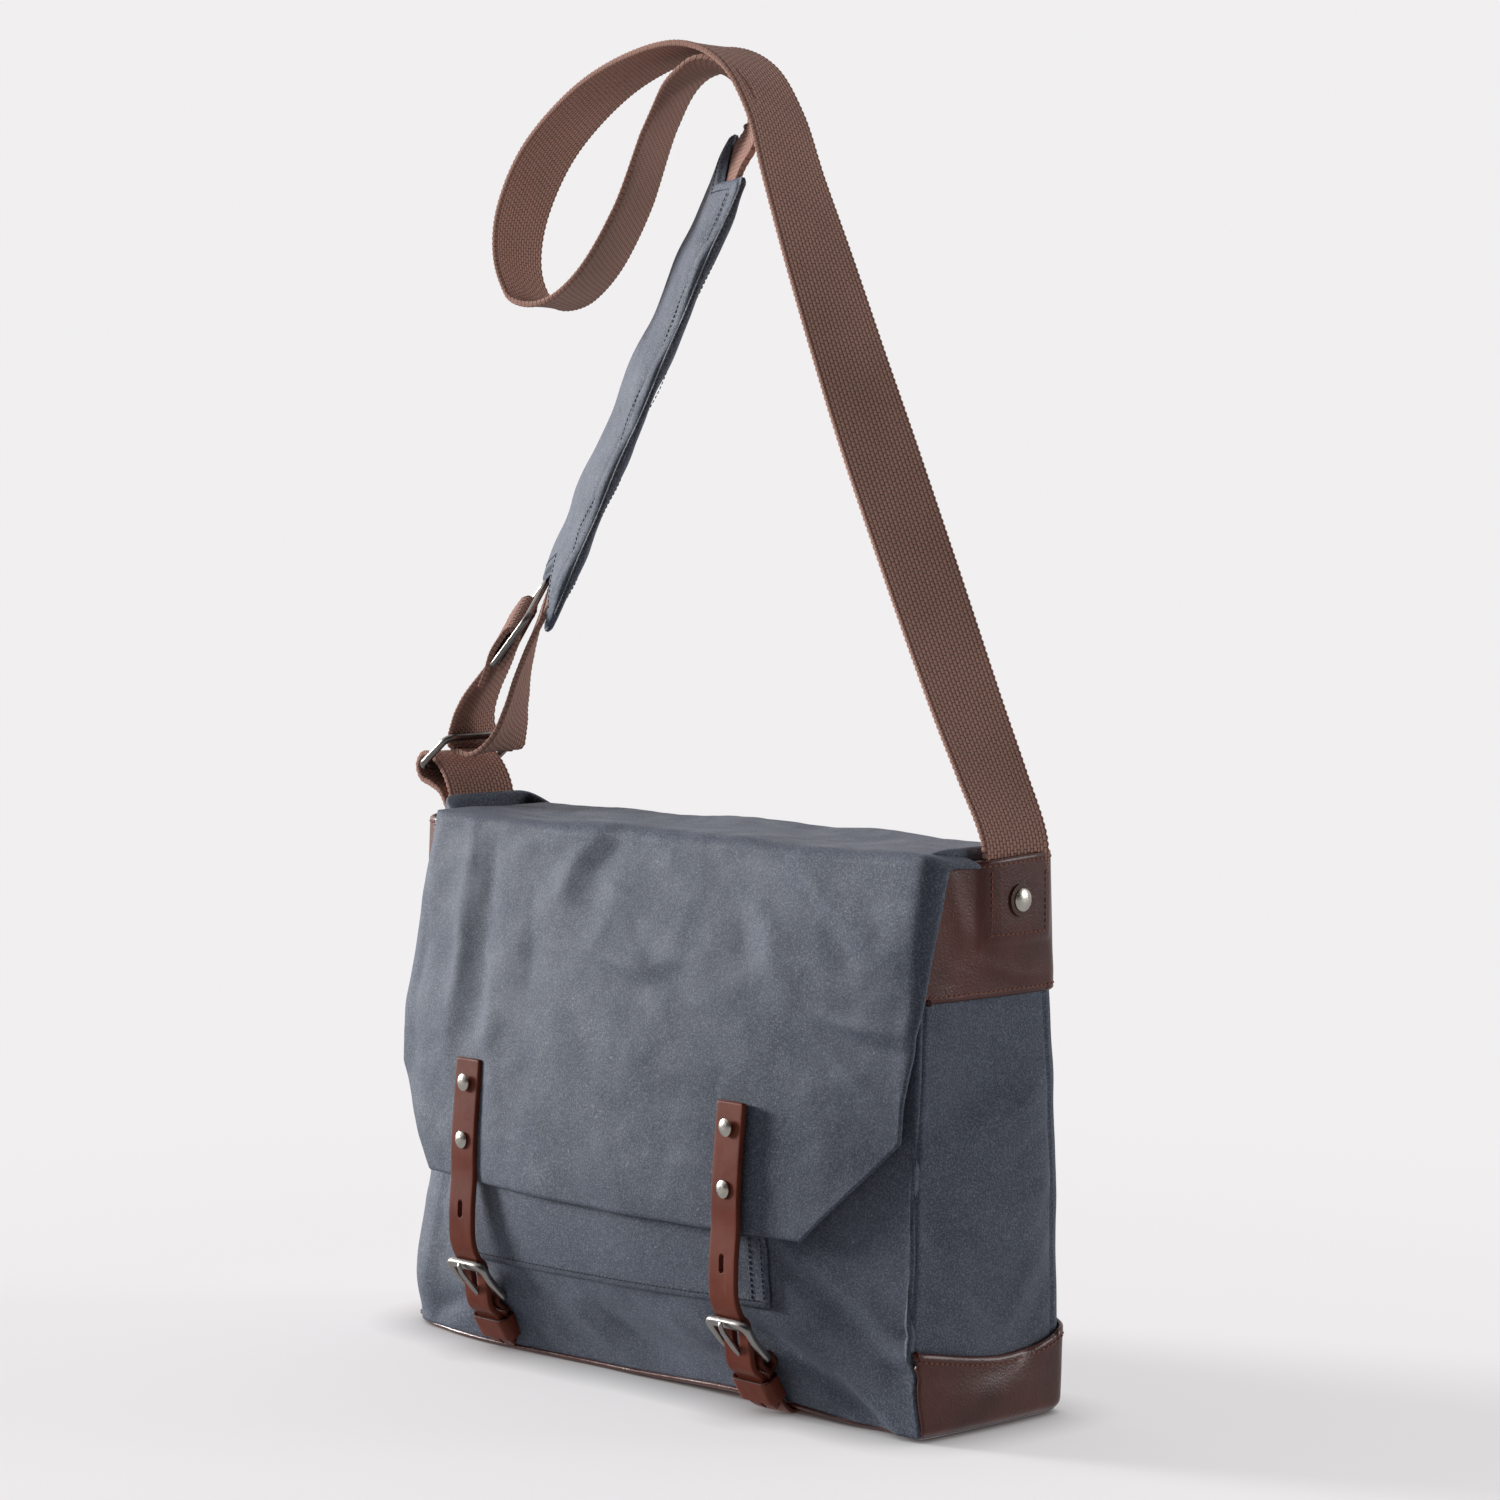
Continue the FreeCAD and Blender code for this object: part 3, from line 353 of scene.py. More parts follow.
class Nodes:
    """Short way to write a material's nodes."""

    def __init__(self, name, colour, roughness, metallic=0.0):
        self.material = bpy.data.materials.new(name)
        self.material.use_nodes = True
        self.tree = self.material.node_tree
        self.shader = self.tree.nodes["Principled BSDF"]
        self.shader.inputs["Base Color"].default_value = (*colour, 1)
        self.shader.inputs["Roughness"].default_value = roughness
        self.shader.inputs["Metallic"].default_value = metallic

    def node(self, kind, **settings):
        node = self.tree.nodes.new("ShaderNode" + kind)
        for key, value in settings.items():
            setattr(node, key, value)
        return node

    def link(self, source, target):
        if isinstance(source, (int, float)):
            target.default_value = source
        else:
            self.tree.links.new(source, target)

    def math(self, operation, a, b=0.0):
        node = self.node("Math", operation=operation)
        for value, socket in zip((a, b), node.inputs):
            self.link(value, socket)
        return node.outputs[0]

    def coordinates(self, kind="Object"):
        return self.node("TexCoord").outputs[kind]

    def along_cloth(self):
        """The two UV lengths, in metres: across the cloth and along it."""
        parts = self.node("SeparateXYZ")
        self.link(self.coordinates("UV"), parts.inputs[0])
        return parts.outputs[0], parts.outputs[1]

    def noise(self, scale, detail=3.0, roughness=0.55, stretch=None):
        node = self.node("TexNoise")
        node.inputs["Scale"].default_value = scale
        node.inputs["Detail"].default_value = detail
        node.inputs["Roughness"].default_value = roughness
        source = self.coordinates()
        if stretch:
            mapping = self.node("Mapping")
            mapping.inputs["Scale"].default_value = stretch
            self.link(source, mapping.inputs["Vector"])
            source = mapping.outputs[0]
        self.link(source, node.inputs["Vector"])
        return node.outputs["Fac"]

    def voronoi(self, scale):
        node = self.node("TexVoronoi", feature="F1")
        node.inputs["Scale"].default_value = scale
        self.link(self.coordinates(), node.inputs["Vector"])
        return node.outputs["Distance"]

    def ramp(self, source, *stops):
        node = self.node("ValToRGB")
        elements = node.color_ramp.elements
        while len(elements) < len(stops):
            elements.new(0.5)
        for element, (position, colour) in zip(elements, stops):
            element.position = position
            element.color = (*colour, 1) if hasattr(colour, "__len__") else (colour, colour, colour, 1)
        self.link(source, node.inputs[0])
        return node.outputs[0]

    def mix(self, share, a, b):
        node = self.node("Mix", data_type="RGBA", blend_type="MIX")
        self.link(share, node.inputs["Factor"])
        for value, socket in ((a, node.inputs[6]), (b, node.inputs[7])):
            if hasattr(value, "__len__"):
                socket.default_value = (*value, 1)
            else:
                self.tree.links.new(value, socket)
        return node.outputs[2]

    def bump(self, height, distance, strength=1.0, after=None):
        node = self.node("Bump")
        node.inputs["Strength"].default_value = strength
        node.inputs["Distance"].default_value = distance
        self.link(height, node.inputs["Height"])
        if after is not None:
            self.link(after, node.inputs["Normal"])
        return node.outputs[0]

    def finish(self, colour=None, roughness=None, normal=None):
        for value, socket in ((colour, "Base Color"), (roughness, "Roughness"), (normal, "Normal")):
            if value is not None:
                self.link(value, self.shader.inputs[socket])
        return self.material


def thread_weave(n, pitch):
    """Height of a plain weave from the UV, one thread every pitch metres."""
    u, v = n.along_cloth()
    warp = n.math("SINE", n.math("MULTIPLY", u, math.pi / pitch))
    weft = n.math("SINE", n.math("MULTIPLY", v, math.pi / pitch))
    return n.math("ABSOLUTE", n.math("MULTIPLY", warp, weft))


def waxed_cotton(name, dark, light, shine=0.52):
    """Waxed cotton: fine weave, a mottled bloom of wax, pale specks and creases rubbed lighter."""
    n = Nodes(name, dark, shine)
    blotches = n.noise(11, 4, 0.6)
    cloudy = n.ramp(blotches, (0.34, 0.0), (0.68, 1.0))
    colour = n.mix(cloudy, dark, light)
    grain = n.noise(1500, 2, 0.7)
    colour = n.mix(n.ramp(grain, (0.36, 0.42), (0.66, 0.0)), colour, tuple(c * 0.52 for c in dark))
    salt = n.noise(1300, 1, 0.5)
    colour = n.mix(n.ramp(salt, (0.46, 0.0), (0.64, 0.5)), colour, (0.25, 0.27, 0.32))
    specks = n.noise(620, 1, 0.5)
    colour = n.mix(n.ramp(specks, (0.72, 0.0), (0.78, 0.5)), colour, (0.40, 0.41, 0.43))
    creases = n.noise(34, 6, 0.68)
    rubbed = n.ramp(creases, (0.485, 0.0), (0.5, 0.16), (0.515, 0.0))
    colour = n.mix(rubbed, colour, tuple(min(c * 2.1, 1) for c in light))
    weave = thread_weave(n, 0.00052)
    first = n.bump(weave, 0.00016, 0.5)
    second = n.bump(grain, 0.00022, 0.6, first)
    third = n.bump(creases, 0.0022, 0.28, second)
    rough = n.ramp(n.noise(60, 3), (0.3, shine - 0.06), (0.7, shine + 0.12))
    n.shader.inputs["Sheen Weight"].default_value = 0.02
    n.shader.inputs["Sheen Roughness"].default_value = 0.4
    n.shader.inputs["Specular IOR Level"].default_value = 0.2
    return n.finish(colour, rough, third)


def leather(name, dark, light, shine, grain_size=0.0011, gloss=0.25):
    """Smooth leather: pebbled grain with pores, mottled dye and fine scuffs."""
    n = Nodes(name, dark, shine)
    colour = n.mix(n.ramp(n.noise(26, 5, 0.6), (0.32, 0.0), (0.7, 1.0)), dark, light)
    pores = n.voronoi(1 / grain_size)
    colour = n.mix(n.ramp(pores, (0.0, 0.28), (0.34, 0.0)), colour, tuple(c * 0.5 for c in dark))
    scuffs = n.noise(300, 2, 0.5, (1, 1, 0.12))
    colour = n.mix(n.ramp(scuffs, (0.64, 0.0), (0.8, 0.25)), colour, tuple(min(c * 1.9, 1) for c in light))
    first = n.bump(pores, grain_size * 0.22, 0.45)
    second = n.bump(n.noise(190, 4, 0.6), 0.0005, 0.35, first)
    rough = n.ramp(n.noise(75, 3), (0.3, shine - 0.07), (0.7, shine + 0.1))
    n.shader.inputs["Coat Weight"].default_value = gloss
    n.shader.inputs["Coat Roughness"].default_value = 0.22
    n.shader.inputs["Specular IOR Level"].default_value = 0.28
    return n.finish(colour, rough, second)


def strap_leather_material():
    """Chestnut strap leather, dyed darker and burnished along its cut edges."""
    n = Nodes("strap_leather_look", (0.155, 0.034, 0.018), 0.42)
    mottled = n.mix(n.ramp(n.noise(38, 4, 0.6), (0.3, 0.0), (0.7, 1.0)), (0.130, 0.027, 0.015),
                    (0.185, 0.050, 0.030))
    u, _ = n.along_cloth()
    edge = n.ramp(n.math("ABSOLUTE", n.math("MULTIPLY", u, 50)), (0.455, 0.0), (0.49, 0.85))
    colour = n.mix(edge, mottled, (0.040, 0.014, 0.011))
    scuffs = n.noise(420, 2, 0.5, (1, 1, 0.1))
    colour = n.mix(n.ramp(scuffs, (0.62, 0.0), (0.8, 0.2)), colour, (0.30, 0.15, 0.115))
    first = n.bump(n.noise(1600, 2, 0.6), 0.00012, 0.4)
    second = n.bump(n.noise(120, 3), 0.0004, 0.3, first)
    n.shader.inputs["Coat Weight"].default_value = 0.05
    n.shader.inputs["Coat Roughness"].default_value = 0.35
    n.shader.inputs["Specular IOR Level"].default_value = 0.12
    return n.finish(colour, n.ramp(n.noise(90, 3), (0.3, 0.36), (0.7, 0.52)), second)


def webbing_material():
    """Cotton webbing: rows of small oval floats, each column set half a float lower than the last, with painted
    shade in the gaps between them.
    """
    n = Nodes("webbing_look", (0.13, 0.07, 0.05), 0.82)
    u, v = n.along_cloth()
    column = n.math("MULTIPLY", u, 1 / 0.0021)
    whole = n.math("FLOOR", column)
    stagger = n.math("MULTIPLY", n.math("FLOORED_MODULO", whole, 2.0), 0.5)
    row = n.math("ADD", n.math("MULTIPLY", v, 1 / 0.0028), stagger)
    across = n.math("SUBTRACT", n.math("MULTIPLY", n.math("FRACT", column), 2.0), 1.0)
    down = n.math("SUBTRACT", n.math("MULTIPLY", n.math("FRACT", row), 2.0), 1.0)
    round_across = n.math("SUBTRACT", 1.0, n.math("MULTIPLY", across, across))
    round_down = n.math("SUBTRACT", 1.0, n.math("MULTIPLY", down, down))
    float_height = n.math("POWER", n.math("MULTIPLY", round_across, round_down), 0.6)
    fibres = n.noise(2600, 2, 0.7)
    tone = n.mix(n.ramp(n.noise(16, 3), (0.3, 0.0), (0.7, 1.0)), (0.37, 0.20, 0.155), (0.48, 0.265, 0.21))
    # Painted shade: near black where the floats dip into the gaps between them.
    painted_gap_shade = n.ramp(float_height, (0.05, 1.0), (0.5, 0.0))
    colour = n.mix(painted_gap_shade, tone, (0.035, 0.015, 0.011))
    colour = n.mix(n.ramp(fibres, (0.45, 0.0), (0.75, 0.35)), colour, (0.50, 0.34, 0.28))
    first = n.bump(float_height, 0.0007, 0.9)
    second = n.bump(fibres, 0.0002, 0.4, first)
    n.shader.inputs["Sheen Weight"].default_value = 0.08
    n.shader.inputs["Specular IOR Level"].default_value = 0.12
    return n.finish(colour, None, second)


def metal(name, colour, roughness, wear=0.12):
    """Plated metal, brushed a little and duller where it is handled."""
    n = Nodes(name, colour, roughness, 1.0)
    cloud = n.ramp(n.noise(140, 4, 0.6), (0.3, 0.0), (0.72, 1.0))
    tone = n.mix(cloud, tuple(c * (1 - 2 * wear) for c in colour), colour)
    scratches = n.noise(900, 2, 0.6, (1, 0.2, 1))
    rough = n.ramp(scratches, (0.3, roughness - 0.08), (0.7, roughness + 0.12))
    return n.finish(tone, rough, n.bump(scratches, 0.00006, 0.35))


def plain_cloth(name, dark, light):
    """Unwaxed cotton for linings and tapes."""
    n = Nodes(name, dark, 0.85)
    colour = n.mix(n.noise(40, 4), dark, light)
    return n.finish(colour, None, n.bump(thread_weave(n, 0.0006), 0.0002, 0.6))


def board_material():
    """Grey fibre board with flecks."""
    n = Nodes("board_look", (0.20, 0.18, 0.15), 0.9)
    flecks = n.ramp(n.noise(700, 3, 0.7), (0.4, 0.0), (0.7, 1.0))
    colour = n.mix(flecks, (0.16, 0.14, 0.12), (0.3, 0.27, 0.23))
    return n.finish(colour, None, n.bump(n.noise(500, 3), 0.0003, 0.5))


def foam_material():
    """Open-cell foam."""
    n = Nodes("foam_look", (0.55, 0.53, 0.47), 0.95)
    cells = n.voronoi(900)
    colour = n.mix(n.ramp(cells, (0.1, 0.0), (0.5, 1.0)), (0.36, 0.35, 0.31), (0.6, 0.58, 0.52))
    return n.finish(colour, None, n.bump(cells, 0.0005, 0.8))


cotton = waxed_cotton("waxed_cotton_look", (0.072, 0.090, 0.128), (0.112, 0.130, 0.174))
lining_cloth = plain_cloth("lining_look", (0.045, 0.052, 0.068), (0.060, 0.068, 0.086))
base_hide = leather("base_leather_look", (0.060, 0.013, 0.009), (0.130, 0.032, 0.021), 0.36, gloss=0.4)
strap_hide = strap_leather_material()
web_cloth = webbing_material()
nickel = metal("nickel_look", (0.44, 0.42, 0.40), 0.32)
gunmetal = metal("gunmetal_look", (0.30, 0.28, 0.26), 0.33)
rivet_metal = metal("rivet_look", (0.70, 0.66, 0.60), 0.26)
dark_thread = plain_cloth("thread_dark_look", (0.018, 0.020, 0.027), (0.030, 0.033, 0.042))
red_thread = plain_cloth("thread_red_look", (0.26, 0.085, 0.06), (0.33, 0.12, 0.085))
board = board_material()
foam = foam_material()

# ---------------------------------------------------------------- body

SEAM = 1.7                 # depth of the sewn groove beside each corner
FACE_COLUMNS, SIDE_COLUMNS, BEND_COLUMNS = 111, 40, 10
END_COLUMNS = SIDE_COLUMNS + 2 * BEND_COLUMNS       # a gusset with the bends beside it
RING_COLUMNS = 2 * (FACE_COLUMNS + END_COLUMNS)


def corner_radius(name, z):
    """Radius of an upright corner: the front right is a crisp seam, the front left slack and round."""
    if name == "front_right":
        return 1.6
    if name == "front_left":
        return float(spline((0, 30, 84, 150, 200, 250), (28, 33, 43, 38, 30, 23), z))
    return 9.0


def front_point(x, z):
    """A point on the front face with its folds; the cloth is slack towards the left corner."""
    sag = fold_height(x, z, FRONT_FOLDS)
    low_swell = 7.0 * np.exp(-((x + 120) ** 2) / (2 * 48**2)) * (1 - smooth(4, 46, z))
    slack = spline((0, 30, 45, 84, 130, 190, 250), (2, 3, 6, 14, 14, 7, 3), z) * smooth(95, 150, -x)
    return -(face_depth(x, z) + sag + low_swell - slack)


def back_point(x, z):
    """A point on the back face, with a few broad dents."""
    folds = ((-120, 190, -60, 60, 16, 2.0), (40, 200, 90, 90, 18, -2.0), (-20, 120, 40, 60, 14, 1.6),
             (130, 120, 150, 50, 12, 2.0), (-150, 100, -140, 40, 12, -1.6))
    return face_depth(x, z, False) + fold_height(x, z, folds)


def corner_points(x, y, radius, start):
    """Quarter turn about (x, y), without its two ends, from the start angle in degrees."""
    turns = np.radians(start + np.linspace(0, 90, BEND_COLUMNS + 2)[1:-1])
    return [(x + radius * math.cos(a), y + radius * math.sin(a)) for a in turns]


def side_columns(low, high):
    """Places across a gusset: close together beside both seams."""
    near = np.array([0, 0.8, 1.6, 2.4, 3.2, 4.4])
    middle = np.linspace(low + 6, high - 6, SIDE_COLUMNS - 12)
    return np.concatenate([low + near, middle, (high - near)[::-1]])


def body_ring(z, inward=0.0, folds=True):
    """One turn round the bag at height z: front, right gusset, back, left gusset."""
    half = HALF_WIDTH - 1.2 - inward
    corners = ("front_left", "front_right", "back_right", "back_left")
    radius = {name: corner_radius(name, z) for name in corners}
    reach = {name: half - r for name, r in radius.items()}
    depth = {"front_left": front_point(-reach["front_left"], z) + inward,
             "front_right": front_point(reach["front_right"], z) + inward,
             "back_right": back_point(reach["back_right"], z) - inward,
             "back_left": back_point(-reach["back_left"], z) - inward}
    ring = [(x, front_point(x, z) + inward)
            for x in np.linspace(-reach["front_left"], reach["front_right"], FACE_COLUMNS)]
    ring += corner_points(reach["front_right"], depth["front_right"] + radius["front_right"],
                          radius["front_right"], -90)
    low, high = depth["front_right"] + radius["front_right"], depth["back_right"] - radius["back_right"]
    ring += [(half + gusset_bow(y, z, 1, low, high, folds), y) for y in side_columns(low, high)]
    ring += corner_points(reach["back_right"], high, radius["back_right"], 0)
    ring += [(x, back_point(x, z) - inward)
             for x in np.linspace(reach["back_right"], -reach["back_left"], FACE_COLUMNS)]
    low, high = depth["front_left"] + radius["front_left"], depth["back_left"] - radius["back_left"]
    ring += corner_points(-reach["back_left"], high, radius["back_left"], 90)
    ring += [(-half - gusset_bow(y, z, -1, low, high, folds), y) for y in side_columns(low, high)[::-1]]
    ring += corner_points(-reach["front_left"], low, radius["front_left"], 180)
    return [(x, y, z) for x, y in ring]


def gusset_bow(y, z, sign, low, high, folds=True):
    """How far a gusset stands out at (y, z): its folds, and the sewn grooves beside both corners."""
    if not folds:
        return 0.0
    share = (y - (low + high) / 2) / ((high - low) / 2)
    covered = smooth(26, 44, z) * (1 - smooth(178, 200, z))
    swell = 3.4 * math.exp(-((z - 112) / 46) ** 2) * (1 + 0.9 * share)
    bow = float(fold_height(y * sign, z, GUSSET_FOLDS)) + 1.2 + swell
    open_cloth = smooth(34, 40, z) * (1 - smooth(186, 194, z))
    beside = math.exp(-(((y - low) - 0.4) / 0.9) ** 2) + 0.6 * math.exp(-((high - y) / 1.2) ** 2)
    groove = -SEAM * open_cloth * beside
    return bow * (1 - abs(share) ** 5) * covered + groove + 1.4 * (1 - share**2) * (1 - covered)


def bag_shell():
    """The cloth body: one lofted shell round the front, gussets and back, open at the mouth."""
    heights = np.r_[2.1, 4.0, 6.5, np.linspace(10, MOUTH_Z, 104)]
    rings = np.array([body_ring(z) for z in heights])
    arch = np.array([sole_lift(x, y) for x, y in rings[0, :, :2]])
    rings[..., 2] += arch * (1 - smooth(2, 34, rings[..., 2]))
    tuck = rings[0].copy()
    tuck[:, 0] *= 0.975
    tuck[:, 1] *= 0.87
    tuck[:, 2] = 2.1 + arch
    rings = np.concatenate([tuck[None], rings])
    lumps = rumple(rings, 34) * 0.9 + rumple(rings, 13, 5.0) * 0.28
    normal = normals_of(rings, closed=True)
    covered = smooth(8, 30, rings[..., 2]) * (1 - smooth(232, 246, rings[..., 2]))
    rings = rings + normal * (lumps * covered)[..., None]
    rows, columns = rings.shape[:2]
    inner = rings - normals_of(rings, closed=True) * CLOTH
    mouth = (rings[-1] + inner[-1]) / 2 + (0, 0, 0.9)
    bottom = (rings[0] + inner[0]) / 2
    uv = cloth_lengths(rings)
    count = rows * columns
    vertices = np.concatenate([rings.reshape(-1, 3), inner.reshape(-1, 3), mouth, bottom])
    uvs = np.concatenate([uv.reshape(-1, 2), uv.reshape(-1, 2), uv[-1], uv[0]])
    faces = grid_faces(rows, columns, closed=True) + grid_faces(rows, columns, count, True, True)
    last = (rows - 1) * columns
    for c in range(columns):
        d = (c + 1) % columns
        m, n = 2 * count + c, 2 * count + d
        faces.append((last + c, last + d, n, m))
        faces.append((m, n, count + last + d, count + last + c))
        m, n = m + columns, n + columns
        faces.append((d, c, m, n))
        faces.append((n, m, count + c, count + d))
    shell = new_mesh("bag_shell", vertices, faces, uvs)
    belongs(shell, "bag", "waxed_cotton", cotton, "front_panel", "back_panel", "gusset_left", "gusset_right")


def bag_lining():
    """Soft lining inside the shell, down to the base board."""
    heights = np.linspace(5.5, MOUTH_Z - 3, 40)
    rings = np.array([body_ring(z, 3.4, False) for z in heights])
    rings = rings[:, ::2]
    floor = [rings[0].copy() for _ in range(4)]
    for share, ring in zip((0.0, 0.35, 0.7, 0.93), floor):
        ring[:, :2] *= share + 1e-3
        ring[:, 2] = 5.2
    rings = np.concatenate([np.array(floor), rings])
    inward = rumple(rings, 26, 11.0) * 1.0 - 1.2
    inward *= smooth(8, 30, rings[..., 2])
    rings = rings + normals_of(rings, closed=True) * inward[..., None]
    rows, columns = rings.shape[:2]
    inner = rings - normals_of(rings, closed=True) * 0.8
    inner[:4, :, 2] = 6.0
    count = rows * columns
    uv = cloth_lengths(rings)
    vertices = np.concatenate([rings.reshape(-1, 3), inner.reshape(-1, 3)])
    uvs = np.concatenate([uv.reshape(-1, 2)] * 2)
    faces = grid_faces(rows, columns, closed=True) + grid_faces(rows, columns, count, True, True)
    last = (rows - 1) * columns
    for c in range(columns):
        d = (c + 1) % columns
        faces.append((last + c, last + d, count + last + d, count + last + c))
    faces.append(tuple(range(columns))[::-1])
    faces.append(tuple(range(count, count + columns)))
    piece = new_mesh("lining_cloth", vertices, faces, uvs)
    belongs(piece, "bag", "cotton_lining", lining_cloth, "lining")


# ---------------------------------------------------------------- base leather

BASE_LEATHER = 2.2
BASE_TOP = 40


def sole_lift(x, y):
    """The front edge of the base stands a little off the floor, right of the middle."""
    return 3.4 * math.exp(-((x - 72) ** 2) / (2 * 40**2)) * float(smooth(30, 47, -y))


def boot_line(sign, z, shares):
    """Points across one upturned end of the base leather: from the back corner round to the front one."""
    if sign > 0:
        columns = np.arange(FACE_COLUMNS + BEND_COLUMNS - 1, FACE_COLUMNS + END_COLUMNS)
    else:
        columns = np.arange(2 * FACE_COLUMNS + END_COLUMNS, RING_COLUMNS - 7)
    ring = np.array(body_ring(z))[columns]
    tangent = np.gradient(ring, axis=0)
    outward = np.stack([tangent[:, 1], -tangent[:, 0], tangent[:, 2] * 0], axis=1)
    ring = ring + outward / np.linalg.norm(outward, axis=1, keepdims=True) * (BASE_LEATHER + 0.3)
    along = np.r_[0, np.cumsum(np.linalg.norm(np.diff(ring, axis=0), axis=1))]
    if sign > 0:
        ring, along = ring[::-1], (along[-1] - along)[::-1]
    place = (shares + 1) / 2 * along[-1]
    return np.stack([np.interp(place, along, ring[:, c]) for c in range(3)], axis=1)


def base_leather():
    """One leather sheet: up over the right gusset, under the base and up over the left gusset."""
    turn = 7.0             # height at which the sheet has turned upright
    floor_gap = 0.1
    slack_radius = 34      # of the sole's front left corner
    middle_half = HALF_WIDTH - turn - 4
    shares = np.r_[-1, -0.985, -0.965, np.linspace(-0.94, 0.94, 45), 0.965, 0.985, 1]
    front_share = (1 + shares) / 2

    def sole_row(x):
        held = HALF_WIDTH - 30
        front = front_point(np.clip(x, -held, held), 5.0) + 0.7
        past = np.clip(slack_radius - HALF_WIDTH - x, 0, slack_radius - 1)
        front += slack_radius - math.sqrt(slack_radius**2 - past**2)
        back = back_point(np.clip(x, -held, held), 5.0) - 0.6
        y = back + (front - back) * front_share
        rim = np.clip((np.abs(shares) - 0.94) / 0.06, 0, 1)
        lift = np.array([sole_lift(x, value) for value in y])
        return np.stack([np.full(len(y), x), y, floor_gap + lift + 0.6 * rim**1.5], axis=1)

    def upright_rows(sign):
        rows = []
        for z in np.linspace(BASE_TOP, turn, 17):
            top = (z - turn) / (BASE_TOP - turn)
            row = boot_line(sign, z, shares)
            row[:, 2] -= 8.5 * top * np.sin(math.pi * front_share**0.9) ** 1.4
            swell = 0.8 * np.sin(shares * 4 + z / 9) * top + 0.9 * math.exp(-((z - 18) / 11) ** 2)
            row[:, 0] += sign * swell * (1 - shares**2)
            rows.append(row)
        under = sole_row(sign * (HALF_WIDTH - turn - 1))
        for a in np.radians(np.linspace(14, 88, 7)):
            row = under + (rows[16] - under) * math.cos(a)
            row[:, 2] = floor_gap + (turn - floor_gap) * (1 - math.sin(a))
            row[:, 2] += (under[:, 2] - floor_gap) * math.sin(a)
            rows.append(row)
        return rows

    right, left = upright_rows(1), upright_rows(-1)
    middle = [sole_row(x) for x in np.linspace(middle_half, -middle_half, 88)]
    grid = np.array(right + middle + left[::-1])
    piece = thick_sheet("base_hide", grid, BASE_LEATHER)
    belongs(piece, "bag", "base_leather", base_hide, "base_leather")
    for side, sign in SIDES:
        row = grid[1] if sign > 0 else grid[-2]
        line = row[3:-3] + (sign * 0.15, 0, -1.2)
        sew(f"base_thread_{side}", line, 3.2, "bag", "base_leather", red_thread)


# ---------------------------------------------------------------- patches on the gussets

PATCH_LOW, PATCH_HIGH = 190, 249
PATCH_WRAP = 2             # columns of the front face that the left patch reaches


def patch_columns(sign):
    """Ring columns under one patch: the gusset, both corners and a little of the faces."""
    if sign > 0:
        start, end = FACE_COLUMNS - 3, FACE_COLUMNS + END_COLUMNS + 3
    else:
        start, end = 2 * FACE_COLUMNS + END_COLUMNS - 3, RING_COLUMNS + PATCH_WRAP
    return np.arange(start, end) % RING_COLUMNS


def patch_grid(sign, heights):
    """Outside of a gusset patch: proud of the cloth, raised over the sewn webbing, softly dented."""
    columns = patch_columns(sign)
    rings = np.array([np.array(body_ring(z))[columns] for z in heights])
    tilt = 1.2 * np.sin(rings[..., 1] / 21)
    rings[..., 2] += tilt * ((rings[..., 2] - PATCH_LOW) / (PATCH_HIGH - PATCH_LOW))
    normal = normals_of(rings)
    x, y, z = rings[..., 0], rings[..., 1], rings[..., 2]
    on_side = smooth(168, 174, np.abs(x))
    over_webbing = smooth(WEB_Y - 24, WEB_Y - 20, y) * (1 - smooth(WEB_Y + 20, WEB_Y + 24, y))
    raised = 1.3 * over_webbing * smooth(210, 215, z)
    raised += 2.4 * np.exp(-((y - WEB_Y) / 21) ** 4) * smooth(192, 222, z)
    raised = raised * on_side
    dents = fold_height(y, z, ((-24, 240, -22, 196, 6, 1.1), (-16, 214, -30, 200, 6, -1.0),
                               (-10, 203, 30, 200, 5, 0.8)))
    inside = smooth(PATCH_LOW, PATCH_LOW + 8, z) * (1 - smooth(PATCH_HIGH - 8, PATCH_HIGH, z)) * on_side
    return rings + normal * (2.2 + raised + dents * 0.7 * inside)[..., None]


def on_patch(grid, y, z):
    """Point of the patch's outside nearest to (y, z) on the gusset."""
    side = np.abs(grid[..., 0]) > 172
    distance = np.where(side, (grid[..., 1] - y) ** 2 + (grid[..., 2] - z) ** 2, 1e9)
    r, c = np.unravel_index(np.argmin(distance), distance.shape)
    return np.array((grid[r, c, 0], y, z))


def gusset_patches():
    """Leather patch over each webbing end, its edge stitching, and the box stitch round the webbing."""
    heights = np.linspace(PATCH_LOW, PATCH_HIGH, 60)
    reach, low, high = 17.5, 216.5, PATCH_HIGH - 4.5
    front, rear = WEB_Y - reach, WEB_Y + reach
    box = [(front, z) for z in np.linspace(high, low, 14)]
    box += [(y, low) for y in np.linspace(front, rear, 16)[1:-1]]
    box += [(rear, z) for z in np.linspace(low, high, 14)]
    for side, sign in SIDES:
        grid = patch_grid(sign, heights)
        piece = thick_sheet(f"patch_hide_{side}", grid, 2.0)
        belongs(piece, "bag", "base_leather", base_hide, f"gusset_patch_{side}")
        proud = np.array((sign * 0.12, 0, 0))
        lines = {"low": grid[2, 2:-2] + proud, "top": grid[-3, 2:-2] + proud,
                 "box": np.array([on_patch(grid, y, z) for y, z in box]) + proud}
        for name, line in lines.items():
            sew(f"patch_thread_{name}_{side}", line, 3.0, "bag", "base_leather", red_thread)
        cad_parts[f"patch_washer_{side}"].data.materials[0] = washer_hide
        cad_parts[f"patch_rivet_{side}"].data.materials[0] = rivet_metal


# ---------------------------------------------------------------- pocket

def calm(x, z):
    """1 away from the closure straps and 0 beneath them, where the cloth is held flat."""
    near = np.exp(-((np.abs(x) - CLOSURE_X) ** 2) / (2 * 11**2))
    return 1 - near * (1 - smooth(140, 155, z))


